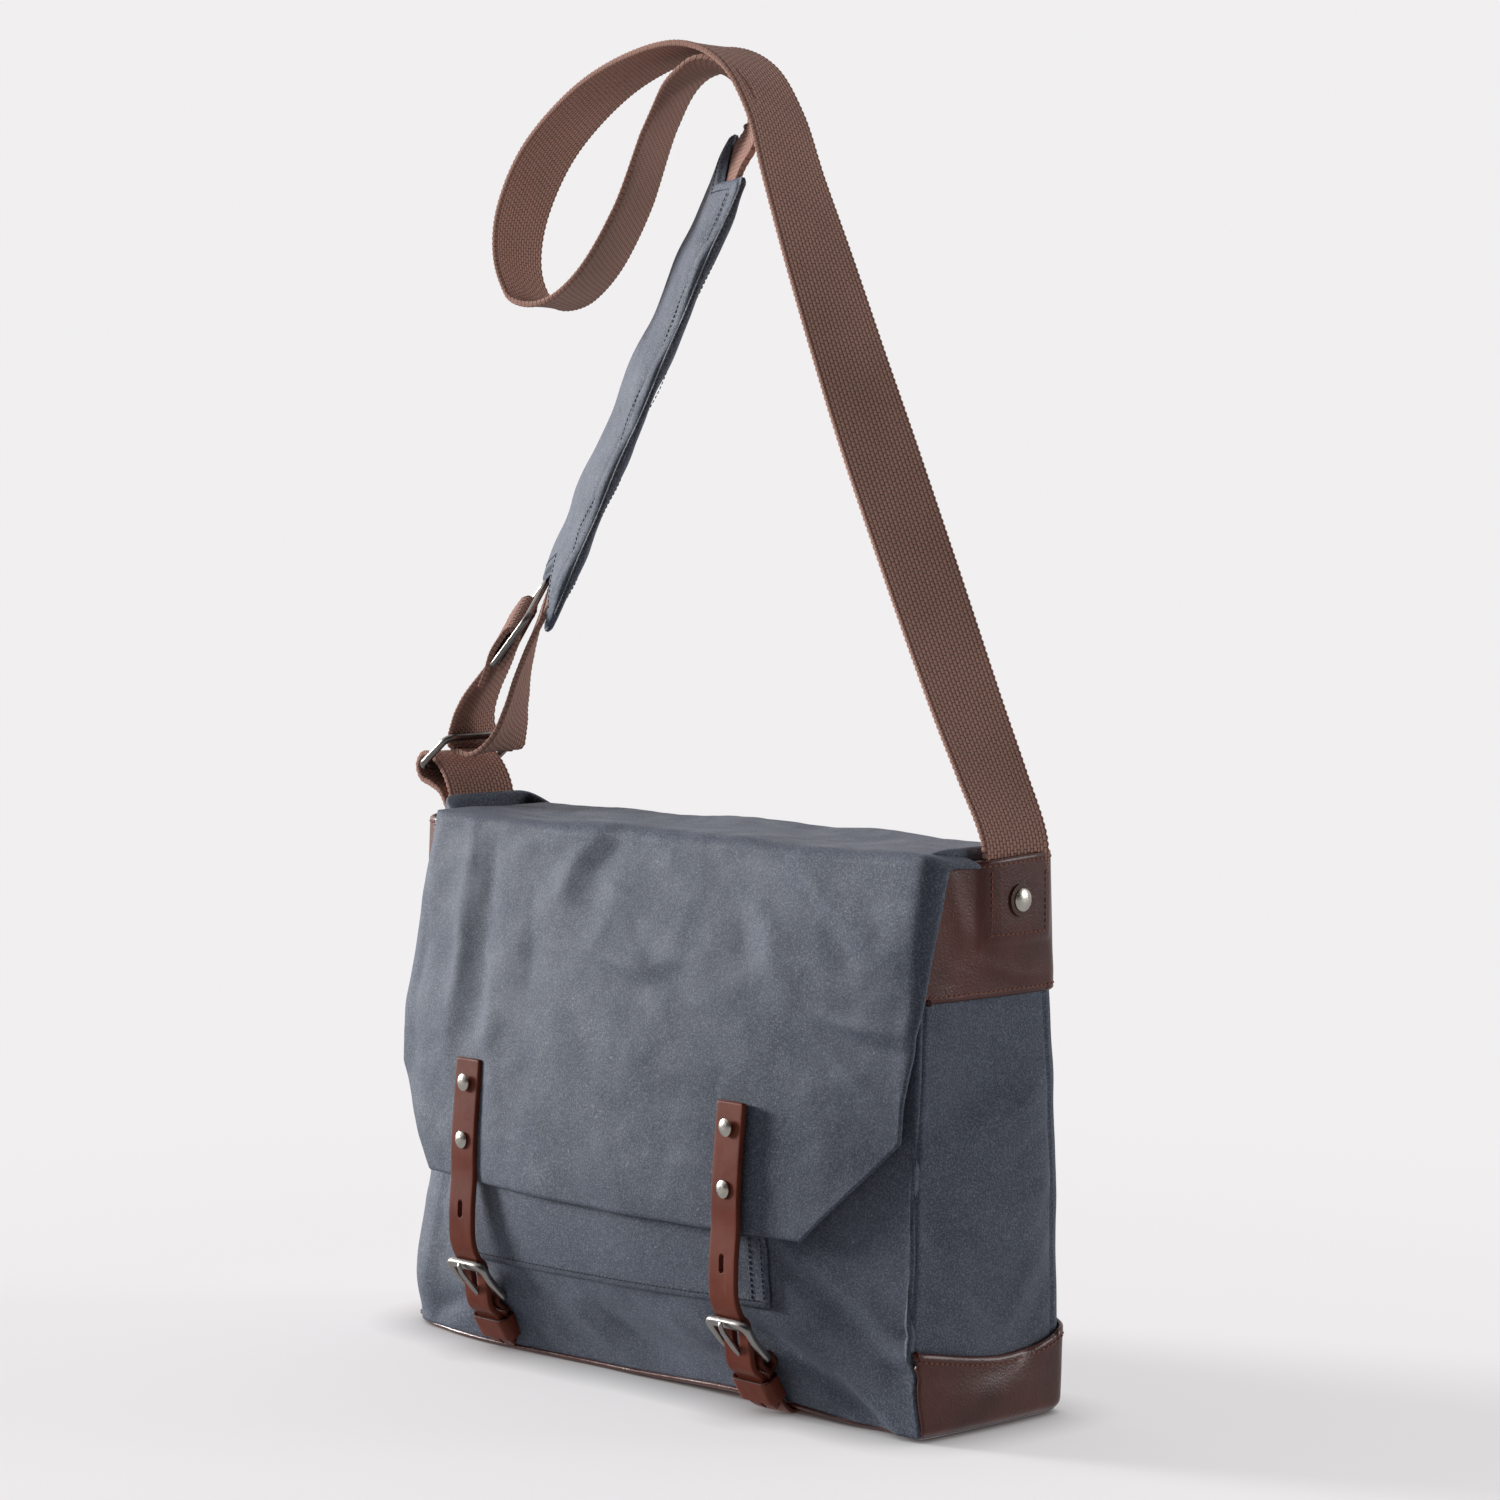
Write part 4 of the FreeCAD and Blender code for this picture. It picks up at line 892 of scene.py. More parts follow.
def front_pocket():
    """Patch pocket whose lower part shows under the flap, with twin stitching on its sides and bottom."""
    half, low, tall = 106, 51, 145
    inset = 2.6 / tall     # of the bottom stitching, as a share of the height

    def surface(x, share, proud=1.9):
        z = low + (x - half) * 0.032 + share * tall
        return (x, front_point(x, z) - proud - 0.5 * math.sin(x / 17) * (1 - share) * 0.6, z)

    xs = np.linspace(-half, half, 90)
    grid = np.array([[surface(x, share) for x in xs] for share in np.linspace(0, 1, 56)])
    piece = thick_sheet("pocket_cloth", grid, 1.5)
    belongs(piece, "bag", "waxed_cotton", cotton, "front_pocket")
    lines = {"bottom": [surface(x, inset, 2.1) for x in np.linspace(3 - half, half - 3, 80)]}
    for side, sign in SIDES:
        for number, margin in enumerate((2.4, 9.0)):
            lines[f"{side}_{number}"] = [surface(sign * (half - margin), share, 2.1)
                                         for share in np.linspace(inset, 0.98, 60)]
    for name, line in lines.items():
        sew_finely(f"pocket_thread_{name}", line, "bag")


def inner_pocket():
    """Slip pocket of lining cloth on the back lining."""
    low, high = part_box("inner_pocket")
    low, high = np.array(low) / MM, np.array(high) / MM
    xs, zs = np.linspace(low[0], high[0], 40), np.linspace(low[2], high[2], 30)
    grid = []
    for z in zs:
        gape = 1.6 * smooth(high[2] - 60, high[2], z)
        grid.append([(x, back_point(x, z) - 4.9 - gape * (1 - (x / xs[-1]) ** 4), z) for x in xs])
    piece = thick_sheet("inner_pocket_cloth", np.array(grid), 0.9)
    belongs(piece, "bag", "cotton_lining", lining_cloth, "inner_pocket")


# ---------------------------------------------------------------- flap

WRAP_X, WRAP_RADIUS = 174.0, 11.0      # where the right edge starts to turn back, and the turn's radius


def flap_reach(z, sign):
    """Half width of the flap on one side at height z: full above the cut-off corner, less below it."""
    hem, full, corner, upper = (129, 175, 130, 191) if sign > 0 else (127, 163, 131, 168)
    cut = np.clip((z - HEM_Z) / (corner - HEM_Z), 0, 1)
    narrowed = 11 * smooth(192, 248, z) if sign < 0 else 0
    return hem + (full - hem) * cut + (upper - full) * np.clip((z - corner) / (245 - corner), 0, 1) - narrowed


def wrapped(x):
    """Turn the flap's slack right edge back round the gusset corner: new x, and how far y moves back."""
    turn = max(x - WRAP_X, 0) / WRAP_RADIUS
    return (x if turn == 0 else WRAP_X + WRAP_RADIUS * math.sin(turn)), WRAP_RADIUS * (1 - math.cos(turn))


def flap_front_y(x, z):
    """The flap's outside on the front, with its folds."""
    reach = flap_reach(z, 1 if x > 0 else -1)
    share = abs(x) / reach
    folds = float(fold_height(x, z, FLAP_FOLDS)) * float(calm(x, z))
    curl = -1.6 * share**8 * float(smooth(150, 235, z)) + 0.7 * math.sin(z / 11) * share**6
    curl -= max(-146 - x, 0) ** 2 / 52 * float(0.1 + 1.4 * np.clip((z - 130) / 115, 0, 1))
    return -(float(face_depth(x, z)) + FLAP_FACE + folds * 0.85 + curl)


def flap_profile(x_share, s):
    """A point of the flap's outside: s runs 0 to 1 over the top from the back, then 1 to 2 down the front."""
    sign = 1 if x_share > 0 else -1
    if s <= 1:
        y = 42.5 + s * (-38.0 - 42.5)
        rear, front = 158.0, flap_reach(250, sign)
        reach = rear + (front - rear) * float(smooth(-10, -24, y))
        x, back = wrapped(x_share * reach)
        y += back
        fall = 7.5 * max((y - back - 32.0) / 10.5, 0) ** 2 + back * 0.5
        ripple = 0.55 * math.sin(x / 15 + y / 13) + 0.8 * math.sin(x / 37 + 1.3)
        z = FLAP_Z - 0.6 + ripple * 0.9 - fall - 1.4 * math.exp(-((y + 2) / 22) ** 2)
        return (x, y, z)
    z = 246.0 - (s - 1) * (246.0 - HEM_Z)
    x, back = wrapped(x_share * float(flap_reach(z, sign)))
    return (x, flap_front_y(min(x, WRAP_X), z) + back, z)


def flap_fold(x_share, count=9):
    """Points of the front fold, from the flap's top round to its front."""
    over, under = np.array(flap_profile(x_share, 1.0)), np.array(flap_profile(x_share, 1.0 + 1e-6))
    points = []
    for t in np.linspace(0, 1, count + 2)[1:-1]:
        a = t * math.pi / 2
        y = over[1] + (under[1] - over[1]) * math.sin(a)
        z = under[2] + (over[2] - under[2]) * math.cos(a)
        points.append((over[0] + (under[0] - over[0]) * t, y, z))
    return points


def flap():
    """Waxed cotton flap and its facing: one curved sheet, split over the mouth into a top piece and a front
    piece.
    """
    shares = np.r_[-1, -0.992, np.linspace(-0.98, 0.98, 139), 0.992, 1]
    top = np.linspace(0, 1, 30)
    front = np.linspace(1, 2, 110)
    columns = []
    for share in shares:
        column = [flap_profile(share, s) for s in top] + flap_fold(share)
        column += [flap_profile(share, s + 1e-6) for s in front]
        columns.append(column)
    grid = np.transpose(np.array(columns), (1, 0, 2))[:, ::-1]
    normal = normals_of(grid)
    lumps = rumple(grid, 30, 2.0) * 0.9 + rumple(grid, 11, 9.0) * 0.3
    grid = grid + normal * (lumps * calm(grid[..., 0], grid[..., 2]))[..., None]
    split = 15
    inside = grid - normals_of(grid) * 2.1
    inside = inside[:, 2:-2]
    inside[-1, :, 2] += 1.2
    layers = (("flap_cloth", grid, 1.9, cotton, "waxed_cotton", "flap"),
              ("flap_facing", inside, 0.7, lining_cloth, "cotton_lining", "flap_lining"))
    for name, sheet, thickness, material, slot, node in layers:
        upper = thick_sheet(f"{name}_top", sheet[:split + 1], thickness, split)
        lower = thick_sheet(f"{name}_front", sheet[split:], thickness, 0)
        belongs(upper, None, slot, material, f"{node}_top")
        belongs(lower, None, slot, material, f"{node}_front")
        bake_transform(upper)
        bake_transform(lower)


def mouth_collar():
    """The folded top edge of each gusset, standing open as a small box past the flap's end."""
    for side, sign in SIDES:
        rise = 8.5 if sign < 0 else 5.5
        rear = [(178.0, 25.0), (175.0, 34.0), (164, 37.0), (150, 37.0)]
        if sign < 0:
            front = [(140, -34.5), (152, -33.0), (163, -29.0), (171.5, -21.5), (176.5, -12), (177.5, 4)]
        else:
            front = [(150, -37.5), (166, -38.0), (175.5, -35.0), (178.0, -27.0), (177.0, 0)]
        line, at = resample([(sign * x, y, 0) for x, y in front + rear], 2.0)
        rows = []
        for height in np.linspace(0, 1, 8):
            row = []
            for (x, y, _), length in zip(line, at):
                share = length / at[-1]
                risen = float(smooth(0.0, 0.3, share) * (1 - smooth(0.72, 1.0, share)))
                tall = 240 + height * (8 + rise * risen)
                lean = 1.0 * math.sin(share * 9) * height
                row.append((x, y + lean, tall))
            rows.append(row)
        grid = np.array(rows)
        if sign < 0:
            grid = grid[:, ::-1]
        piece = thick_sheet(f"mouth_collar_{side}", grid, 2.6)
        belongs(piece, "bag", "waxed_cotton", cotton)


# ---------------------------------------------------------------- closure straps, buckles and keepers

HEEL = np.array((0, -60.0, 26.5))
TOP_BAR = np.array((0, -75.5, 43.5))
KEEPER = np.array((0, -56.2, 13.0))
KEEPER_ALONG = np.array((0, 0.49, -0.87))
KEEPER_OUT = np.array((0, -0.87, -0.49))
ALONG = (TOP_BAR - HEEL) / np.linalg.norm(TOP_BAR - HEEL)
OUTWARD = np.array((0, -ALONG[2], ALONG[1]))
FRAME_LENGTH, FRAME_HALF = 23.0, 12.0


def closure_line(x):
    """Middle line of a closure strap: down the flap, behind the buckle's top bar, over the heel bar."""
    lying = [(x, flap_front_y(x, z) - 0.7 - CLOSURE_THICK / 2, z) for z in (141, 128, 112, 98, 86)]
    over_heel = HEEL + OUTWARD * 6.6
    in_keeper = KEEPER + KEEPER_OUT * 1.6
    free = [(0, -77.4, 70), (0, -77.2, 56), TOP_BAR - OUTWARD * 3.6 + ALONG * 2,
            TOP_BAR - OUTWARD * 3.2 - ALONG * 5, over_heel + ALONG * 3, over_heel - ALONG * 4,
            in_keeper - KEEPER_ALONG * 6, in_keeper, in_keeper + KEEPER_ALONG * 7,
            in_keeper + KEEPER_ALONG * 11.5 + np.array((0, 1.6, 0.9))]
    return lying + [(x, point[1], point[2]) for point in free]


def cut_out(piece, *tools):
    """Cut holes through a piece."""
    for tool in tools:
        modifier = piece.modifiers.new("hole", "BOOLEAN")
        modifier.operation = "DIFFERENCE"
        modifier.object = tool
    graph = bpy.context.evaluated_depsgraph_get()
    piece.data = bpy.data.meshes.new_from_object(piece.evaluated_get(graph))
    piece.modifiers.clear()
    for tool in tools:
        bpy.data.objects.remove(tool)


def slot_tool(middle, along, half_length, half_width):
    """A long rounded peg that cuts a slot lying along a strap."""
    along = np.array(along) / np.linalg.norm(along)
    outward = np.cross(along, (1, 0, 0))
    sides = 24
    ring = [(half_width * c, half_width * s + math.copysign(half_length - half_width, s + 1e-9))
            for c, s in circle(sides)]
    vertices = [np.array(middle) + np.array((u, 0, 0)) + along * v + outward * w
                for w in (-6, 6) for u, v in ring]
    faces = grid_faces(2, sides, closed=True) + [tuple(range(sides))[::-1], tuple(range(sides, 2 * sides))]
    tool = new_mesh("slot_peg", vertices, faces, flat=True)
    shape = bmesh.new()
    shape.from_mesh(tool.data)
    bmesh.ops.recalc_face_normals(shape, faces=shape.faces)
    shape.to_mesh(tool.data)
    shape.free()
    return tool


def closure_straps():
    """Chestnut leather straps with burnished edges, two slots each, and the rivets' metal."""
    for side, sign in SIDES:
        x = sign * CLOSURE_X
        line, at = resample(closure_line(x), 1.0)
        widthways = np.tile((1.0, 0, 0), (len(line), 1))

        def shape(across, up, along):
            end = np.clip(np.minimum(along, at[-1] - along), 0, 1)
            narrow = 1 - 0.06 * (1 - np.sqrt(end))
            tail = np.clip((at[-1] - along) / 6.0, 0, 1)
            return across * narrow * (0.72 + 0.28 * np.sqrt(1 - (1 - tail) ** 2)), up

        piece = band(f"closure_hide_{side}", line, widthways,
                     strap_section(CLOSURE_WIDTH, CLOSURE_THICK, 14, 0.7), at, shape)
        crossing = TOP_BAR - OUTWARD * 1.0 - ALONG * 10
        tail = KEEPER + KEEPER_OUT * 1.6 + KEEPER_ALONG * 9.5
        cut_out(piece, slot_tool((x, -77.4, 70.2), (0, 0, 1), 4.2, 1.7),
                slot_tool((x, crossing[1], crossing[2]), ALONG + OUTWARD * -0.35, 7.5, 2.1),
                slot_tool((x, tail[1], tail[2]), KEEPER_ALONG, 2.6, 1.4))
        belongs(piece, "flap_front", "strap_leather", strap_hide, f"closure_strap_{side}")
        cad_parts[f"closure_rivets_{side}"].data.materials[0] = rivet_metal


def torus_faces(rows, columns):
    """Faces of a grid whose last row joins its first, and its last column its first."""
    return [(r * columns + k, r * columns + (k + 1) % columns, (r + 1) % rows * columns + (k + 1) % columns,
             (r + 1) % rows * columns + k) for r in range(rows) for k in range(columns)]


def rod_loop(corners, radius, section_of, steps=10):
    """A closed rounded loop of rod in a local plane: corners as (x, y), section_of gives its half sizes."""
    path = []
    count = len(corners)
    for k in range(count):
        before, corner, after = (np.array(corners[(k + d) % count], float) for d in (-1, 0, 1))
        into = (before - corner) / np.linalg.norm(before - corner)
        out = (after - corner) / np.linalg.norm(after - corner)
        start, end = corner + into * radius, corner + out * radius
        for t in np.linspace(0, 1, 7):
            path.append((1 - t) ** 2 * start + 2 * t * (1 - t) * corner + t**2 * end)
        nearer = np.array(corners[(k + 1) % count], float) - out * radius
        path += [end + (nearer - end) * t for t in np.linspace(0, 1, steps)[1:-1]]
    path = np.array(path)
    tangent = np.roll(path, -1, axis=0) - np.roll(path, 1, axis=0)
    tangent /= np.linalg.norm(tangent, axis=1, keepdims=True)
    sideways = np.stack([tangent[:, 1], -tangent[:, 0]], axis=1)
    squareness, sides = 3.2, 16
    rings = []
    for point, side in zip(path, sideways):
        flat, tall, lift = section_of(point)
        ring = []
        for c, s in circle(sides):
            bulk = (abs(c) ** squareness + abs(s) ** squareness) ** (-1 / squareness)
            ring.append((*(point + side * flat * c * bulk), tall * s * bulk + lift))
        rings.append(ring)
    return np.array(rings).reshape(-1, 3), [face[::-1] for face in torus_faces(len(rings), sides)]


def placed(vertices, origin, side, along, outward):
    """Local points put at origin, with local x, y and z along the three directions."""
    vertices = np.asarray(vertices, float)
    return (np.asarray(origin) + vertices[:, :1] * np.asarray(side) + vertices[:, 1:2] * np.asarray(along)
            + vertices[:, 2:3] * np.asarray(outward))


def buckle_section(point):
    """The frame is broad at its top bar and thin at the heel bar."""
    share = np.clip(point[1] / FRAME_LENGTH, 0, 1)
    top = float(smooth(0.7, 1.0, share))
    heel = float(1 - smooth(0.0, 0.16, share))
    return 1.75 + 0.75 * top - 0.15 * heel, 1.7 + 0.15 * top - 0.1 * heel, 0.9 * math.sin(math.pi * share)


def prong_mesh():
    """Prong: an eye round the heel bar and a tapering tongue that rests on the top bar."""
    vertices, faces = [], []
    ring, sides = 20, 12
    for x, radius in ((-1.6, 2.2), (-1.7, 2.9), (-1.4, 3.45), (1.4, 3.45), (1.7, 2.9), (1.6, 2.2)):
        vertices += [(x, radius * c, radius * s) for c, s in circle(ring)]
    faces += grid_faces(6, ring, closed=True)
    faces += [(5 * ring + k, 5 * ring + (k + 1) % ring, (k + 1) % ring, k) for k in range(ring)]
    stops = np.array([(1.0, 3.0), (6, 4.2), (12, 4.6), (18, 4.4), (22, 4.2), (25.4, 3.2), (26.6, 2.2)])
    line, at = resample(np.c_[np.zeros(7), stops], 0.8)
    base = len(vertices)
    for point, length in zip(line, at):
        share = length / at[-1]
        wide = 1.75 - 0.55 * share
        tip = max(share - 0.93, 0) / 0.075
        thick = (1.35 - 0.3 * share) * math.sqrt(max(1 - tip**2, 0.05))
        vertices += [(wide * c, point[1], point[2] + thick * s) for c, s in circle(sides)]
    last = base + (len(line) - 1) * sides
    faces += [face[::-1] for face in grid_faces(len(line), sides, base, closed=True)]
    faces += [tuple(range(base, base + sides)), tuple(range(last, last + sides))[::-1]]
    return vertices, faces


def buckles():
    """Nickel frames and prongs of the two closure buckles."""
    corners = [(-FRAME_HALF + 1.0, 0), (FRAME_HALF - 1.0, 0), (FRAME_HALF, FRAME_LENGTH),
               (-FRAME_HALF, FRAME_LENGTH)]
    for side, sign in SIDES:
        origin = HEEL + (sign * CLOSURE_X, 0, 0)
        local, faces = rod_loop(corners, 4.2, buckle_section)
        piece = new_mesh(f"buckle_loop_{side}", placed(local, origin, (1, 0, 0), ALONG, OUTWARD), faces)
        belongs(piece, f"buckle_{side}", "hardware", nickel, f"buckle_frame_{side}")
        local, faces = prong_mesh()
        piece = new_mesh(f"prong_{side}_tongue", placed(local, origin, (1, 0, 0), ALONG, OUTWARD), faces)
        belongs(piece, f"prong_{side}", "hardware", nickel, f"buckle_prong_{side}")


def loop_band(name, local_path, half_width, thickness, origin, side, along, outward):
    """A leather loop: a closed path in the side and outward directions, its width along the strap."""
    path = np.array(local_path, float)
    tangent = np.roll(path, -1, axis=0) - np.roll(path, 1, axis=0)
    tangent /= np.linalg.norm(tangent, axis=1, keepdims=True)
    away = np.stack([tangent[:, 1], -tangent[:, 0]], axis=1)
    section = strap_section(2 * half_width, thickness, 5, 0.5)
    vertices, uvs = [], []
    lengths = np.r_[0, np.cumsum(np.linalg.norm(np.diff(path, axis=0), axis=1))]
    for point, direction, length in zip(path, away, lengths):
        for wide, up in section:
            u, w = point + direction * up
            vertices.append((u, wide, w))
            uvs.append((wide * 10 / half_width, length))
    faces = torus_faces(len(path), len(section))
    return new_mesh(name, placed(vertices, origin, side, along, outward), faces, uvs)


def rounded_rectangle(half_x, half_y, radius, steps=6):
    """Points round a rectangle with rounded corners."""
    points = []
    for side_x, side_y, start in ((1, 1, 0), (-1, 1, 90), (-1, -1, 180), (1, -1, 270)):
        middle_x, middle_y = side_x * (half_x - radius), side_y * (half_y - radius)
        for a in np.radians(start + np.linspace(0, 90, steps)):
            points.append((middle_x + radius * math.cos(a), middle_y + radius * math.sin(a)))
    dense = []
    for a, b in zip(points, points[1:] + points[:1]):
        gap = math.hypot(b[0] - a[0], b[1] - a[1])
        for t in np.linspace(0, 1, max(int(gap / 1.5), 1), endpoint=False):
            dense.append((a[0] + (b[0] - a[0]) * t, a[1] + (b[1] - a[1]) * t))
    return dense


def buckle_anchors():
    """The strap that holds each buckle, folded round the heel bar, and the keeper loop round it."""
    inner = KEEPER - KEEPER_OUT * 1.7
    back = HEEL - OUTWARD * 3.3
    for side, sign in SIDES:
        shift = np.array((sign * CLOSURE_X, 0, 0))
        stops = [(0, -34.0, 0.9), (0, -41.0, 1.0), (0, -45.6, 1.6), inner + KEEPER_ALONG * 7.5, inner,
                 inner - KEEPER_ALONG * 6, back - ALONG * 5 + OUTWARD * 0.6, back,
                 HEEL - OUTWARD * 2.3 + ALONG * 2.3, HEEL + ALONG * 3.3, HEEL + OUTWARD * 2.4 + ALONG * 2.2,
                 HEEL + OUTWARD * 3.3, HEEL + OUTWARD * 2.6 - ALONG * 4.5]
        line, at = resample([np.array(stop) + shift for stop in stops], 0.8)
        widthways = np.tile((1.0, 0, 0), (len(line), 1))
        piece = band(f"anchor_hide_{side}", line, widthways, strap_section(19.4, 1.9, 14, 0.6), at)
        cut_out(piece, slot_tool(HEEL + ALONG * 2 + shift, OUTWARD, 8, 2.2))
        belongs(piece, "bag", "strap_leather", strap_hide, f"buckle_anchor_{side}")
        path = rounded_rectangle(11.4, 4.2, 3.0)
        keeper = loop_band(f"keeper_hide_{side}", path, 5.8, 1.6, KEEPER + shift, (1, 0, 0), KEEPER_ALONG,
                           KEEPER_OUT)
        belongs(keeper, "bag", "strap_leather", strap_hide, f"keeper_{side}")


# ---------------------------------------------------------------- shoulder strap

# (x, z, heading): heading is how far the width turns from Y towards -X, in degrees.
MAIN_ROUTE = ((181.8, 216, 0), (181.8, 236, 0), (181.8, 257, 0), (168, 285, -4), (151.6, 316.5, -8),
              (125, 371, -12), (98.8, 425.4, -13), (79, 468, -9), (59.5, 511.6, -4), (43, 549, 3),
              (30.5, 579, 7), (12, 602, 8), (-16, 612.5, 8), (-52, 609.5, 8), (-91, 596.5, 9),
              (-128, 572, 10), (-149, 543, 13), (-153, 517, 18), (-141, 500, 23), (-117, 499, 25),
              (-92, 513, 25), (-68, 541, 27), (-48, 577, 30), (-31, 596, 34), (-10, 601, 40), (7, 592, 48),
              (15.5, 573, 56), (1, 551.5, 60), (-40, 490, 61), (-90, 415, 60), (-122, 367, 56),
              (-140, 340, 49), (-150, 320, 43), (-156, 303, 37), (-162, 290, 31), (-171, 280.5, 20),
              (-181, 278.6, 6))
RETURN_ROUTE = ((-181, 278.6, 6), (-188.5, 283.5, 14), (-189.5, 294, 22), (-183.5, 306, 28),
                (-171, 321, 36), (-160, 334, 44), (-151, 345, 48))
RUN_FOOT, RUN_TOP = (-140, 340), (7.8, 561.8)       # (x, z) at both ends of the straight run
PAD_HEADING, SLIDER_HEADING = 61.0, 47.0
WEB_STEP = 0.7
WEB_SECTION = strap_section(WEB_WIDTH, WEB_THICK, 18, 0.9)


def strap_heading(degrees):
    """Direction of the webbing's width for a heading."""
    a = np.radians(degrees)
    return np.stack([-np.sin(a), np.cos(a), np.zeros_like(a)], axis=-1)


def corded_edge(across, up, along):
    """Webbing section with a row of small cords along both edges."""
    edge = np.clip((np.abs(across) - WEB_WIDTH / 2 + 1.7) / 1.7, 0, 1)
    cord = np.abs(np.sin(math.pi * along / 2.8))
    return across + np.sign(across) * edge * (0.55 * cord - 0.35), up * (1 + edge * (0.10 + 0.34 * cord))


def webbing(name, route):
    """A run of webbing along (x, z, heading) points, with a little bow that comes and goes along it."""
    stops = np.array([(x, WEB_Y, z, heading) for x, z, heading in route], float)
    line, at = resample(stops, WEB_STEP)

    def shape(across, up, along):
        wide, tall = corded_edge(across, up, along)
        return wide, tall + 0.35 * np.sin(along / 61) * (1 - (across / 20) ** 2)

    return band(name, line[:, :3], strap_heading(line[:, 3]), WEB_SECTION, at, shape)


def run_directions(heading):
    """Down the straight run, and across it and out of it at a heading."""
    along = np.array((RUN_FOOT[0] - RUN_TOP[0], 0, RUN_FOOT[1] - RUN_TOP[1]))
    along /= np.linalg.norm(along)
    widthways = strap_heading(heading)
    widthways = widthways - (widthways @ along) * along
    widthways /= np.linalg.norm(widthways)
    return along, widthways, np.cross(widthways, along)


def shoulder_strap():
    """The long webbing, the tab that holds the ring, and the part turned back to the slider."""
    main = webbing("webbing_main", MAIN_ROUTE)
    belongs(main, None, "webbing", web_cloth, "webbing_strap", "webbing_end_right")
    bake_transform(main)
    tab_route = ((-181.8, 216, 0), (-181.8, 238, 0), (-183, 256, 0), (-188.5, 267.5, 0), (-197, 275, 0),
                 (-205, 276.2, 0), (-209.4, 270.5, 0), (-206.5, 264.2, 0), (-199, 261.5, 0), (-191, 257.5, 0),
                 (-185.4, 249, 0))
    tab = webbing("webbing_tab", tab_route)
    belongs(tab, None, "webbing", web_cloth, "webbing_tab_left", "webbing_end_left")
    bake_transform(tab)
    turned_back = webbing("webbing_turned_back", RETURN_ROUTE)
    belongs(turned_back, None, "webbing", web_cloth, "webbing_return")
    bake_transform(turned_back)
    along, across, outward = slider_directions()
    stops = ((-3.9, -18), (-3.8, -8), (-3.2, 0), (0, 4.6), (3.6, 3.2), (4.2, -2), (3.6, -12), (0.6, -22),
             (-1.6, -31))
    line, at = resample([slider_centre() + outward * u - along * v for u, v in stops], WEB_STEP)
    fold = band("webbing_fold", line, np.tile(across, (len(line), 1)), WEB_SECTION, at, corded_edge)
    belongs(fold, "slider", "webbing", web_cloth)


def slider_centre():
    """Middle of the slider's centre bar."""
    _, _, outward = run_directions(PAD_HEADING)
    return np.array((RUN_FOOT[0], WEB_Y, RUN_FOOT[1])) + outward * 8.5


def slider_directions():
    """The slider lies along the run but tipped a little, its width at its own heading."""
    along, widthways, outward = run_directions(SLIDER_HEADING)
    tipped = along + outward * 0.20
    tipped /= np.linalg.norm(tipped)
    return tipped, widthways, np.cross(widthways, tipped)


def slider():
    """Metal slider: a flat rounded frame with a bar across its middle."""
    along, widthways, outward = slider_directions()
    half_x, half_y = 23.0, 16.0
    corners = [(-half_x, -half_y), (half_x, -half_y), (half_x, half_y), (-half_x, half_y)]
    local, faces = rod_loop(corners, 4.5, lambda point: (1.9, 1.55, 0.0))
    local = list(map(tuple, local))
    base, rows, ring = len(local), 9, 14
    for x in np.linspace(-half_x, half_x, rows):
        local += [(x, 1.7 * c, 1.5 * s) for c, s in circle(ring)]
    faces += [face[::-1] for face in grid_faces(rows, ring, base, closed=True)]
    piece = new_mesh("slider_frame", placed(local, slider_centre(), widthways, -along, outward), faces)
    belongs(piece, "slider", "hardware", gunmetal, "strap_slider")
    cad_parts["strap_ring"].data.materials[0] = gunmetal


# ---------------------------------------------------------------- shoulder pad

PAD_LENGTH, PAD_HALF, PAD_NOTCH = 245.0, 27.0, 16.0


def pad_end(across, low):
    """Where the pad begins or ends at this point across it: a V notch with rounded lobes."""
    share = np.abs(across) / PAD_HALF
    notch = PAD_NOTCH * np.clip(1 - share / 0.92, 0, 1) ** 0.9
    round_lobe = 5.0 * np.clip((share - 0.84) / 0.16, 0, 1) ** 2
    return notch * 1.5 + round_lobe - 10.0 if low else PAD_LENGTH - notch - round_lobe


def pad_wave(v):
    """How far the pad's puckered edges wander along its length."""
    return 1.5 * math.sin(v / 9.0 + 1.0) + 1.1 * math.sin(v / 17.0)


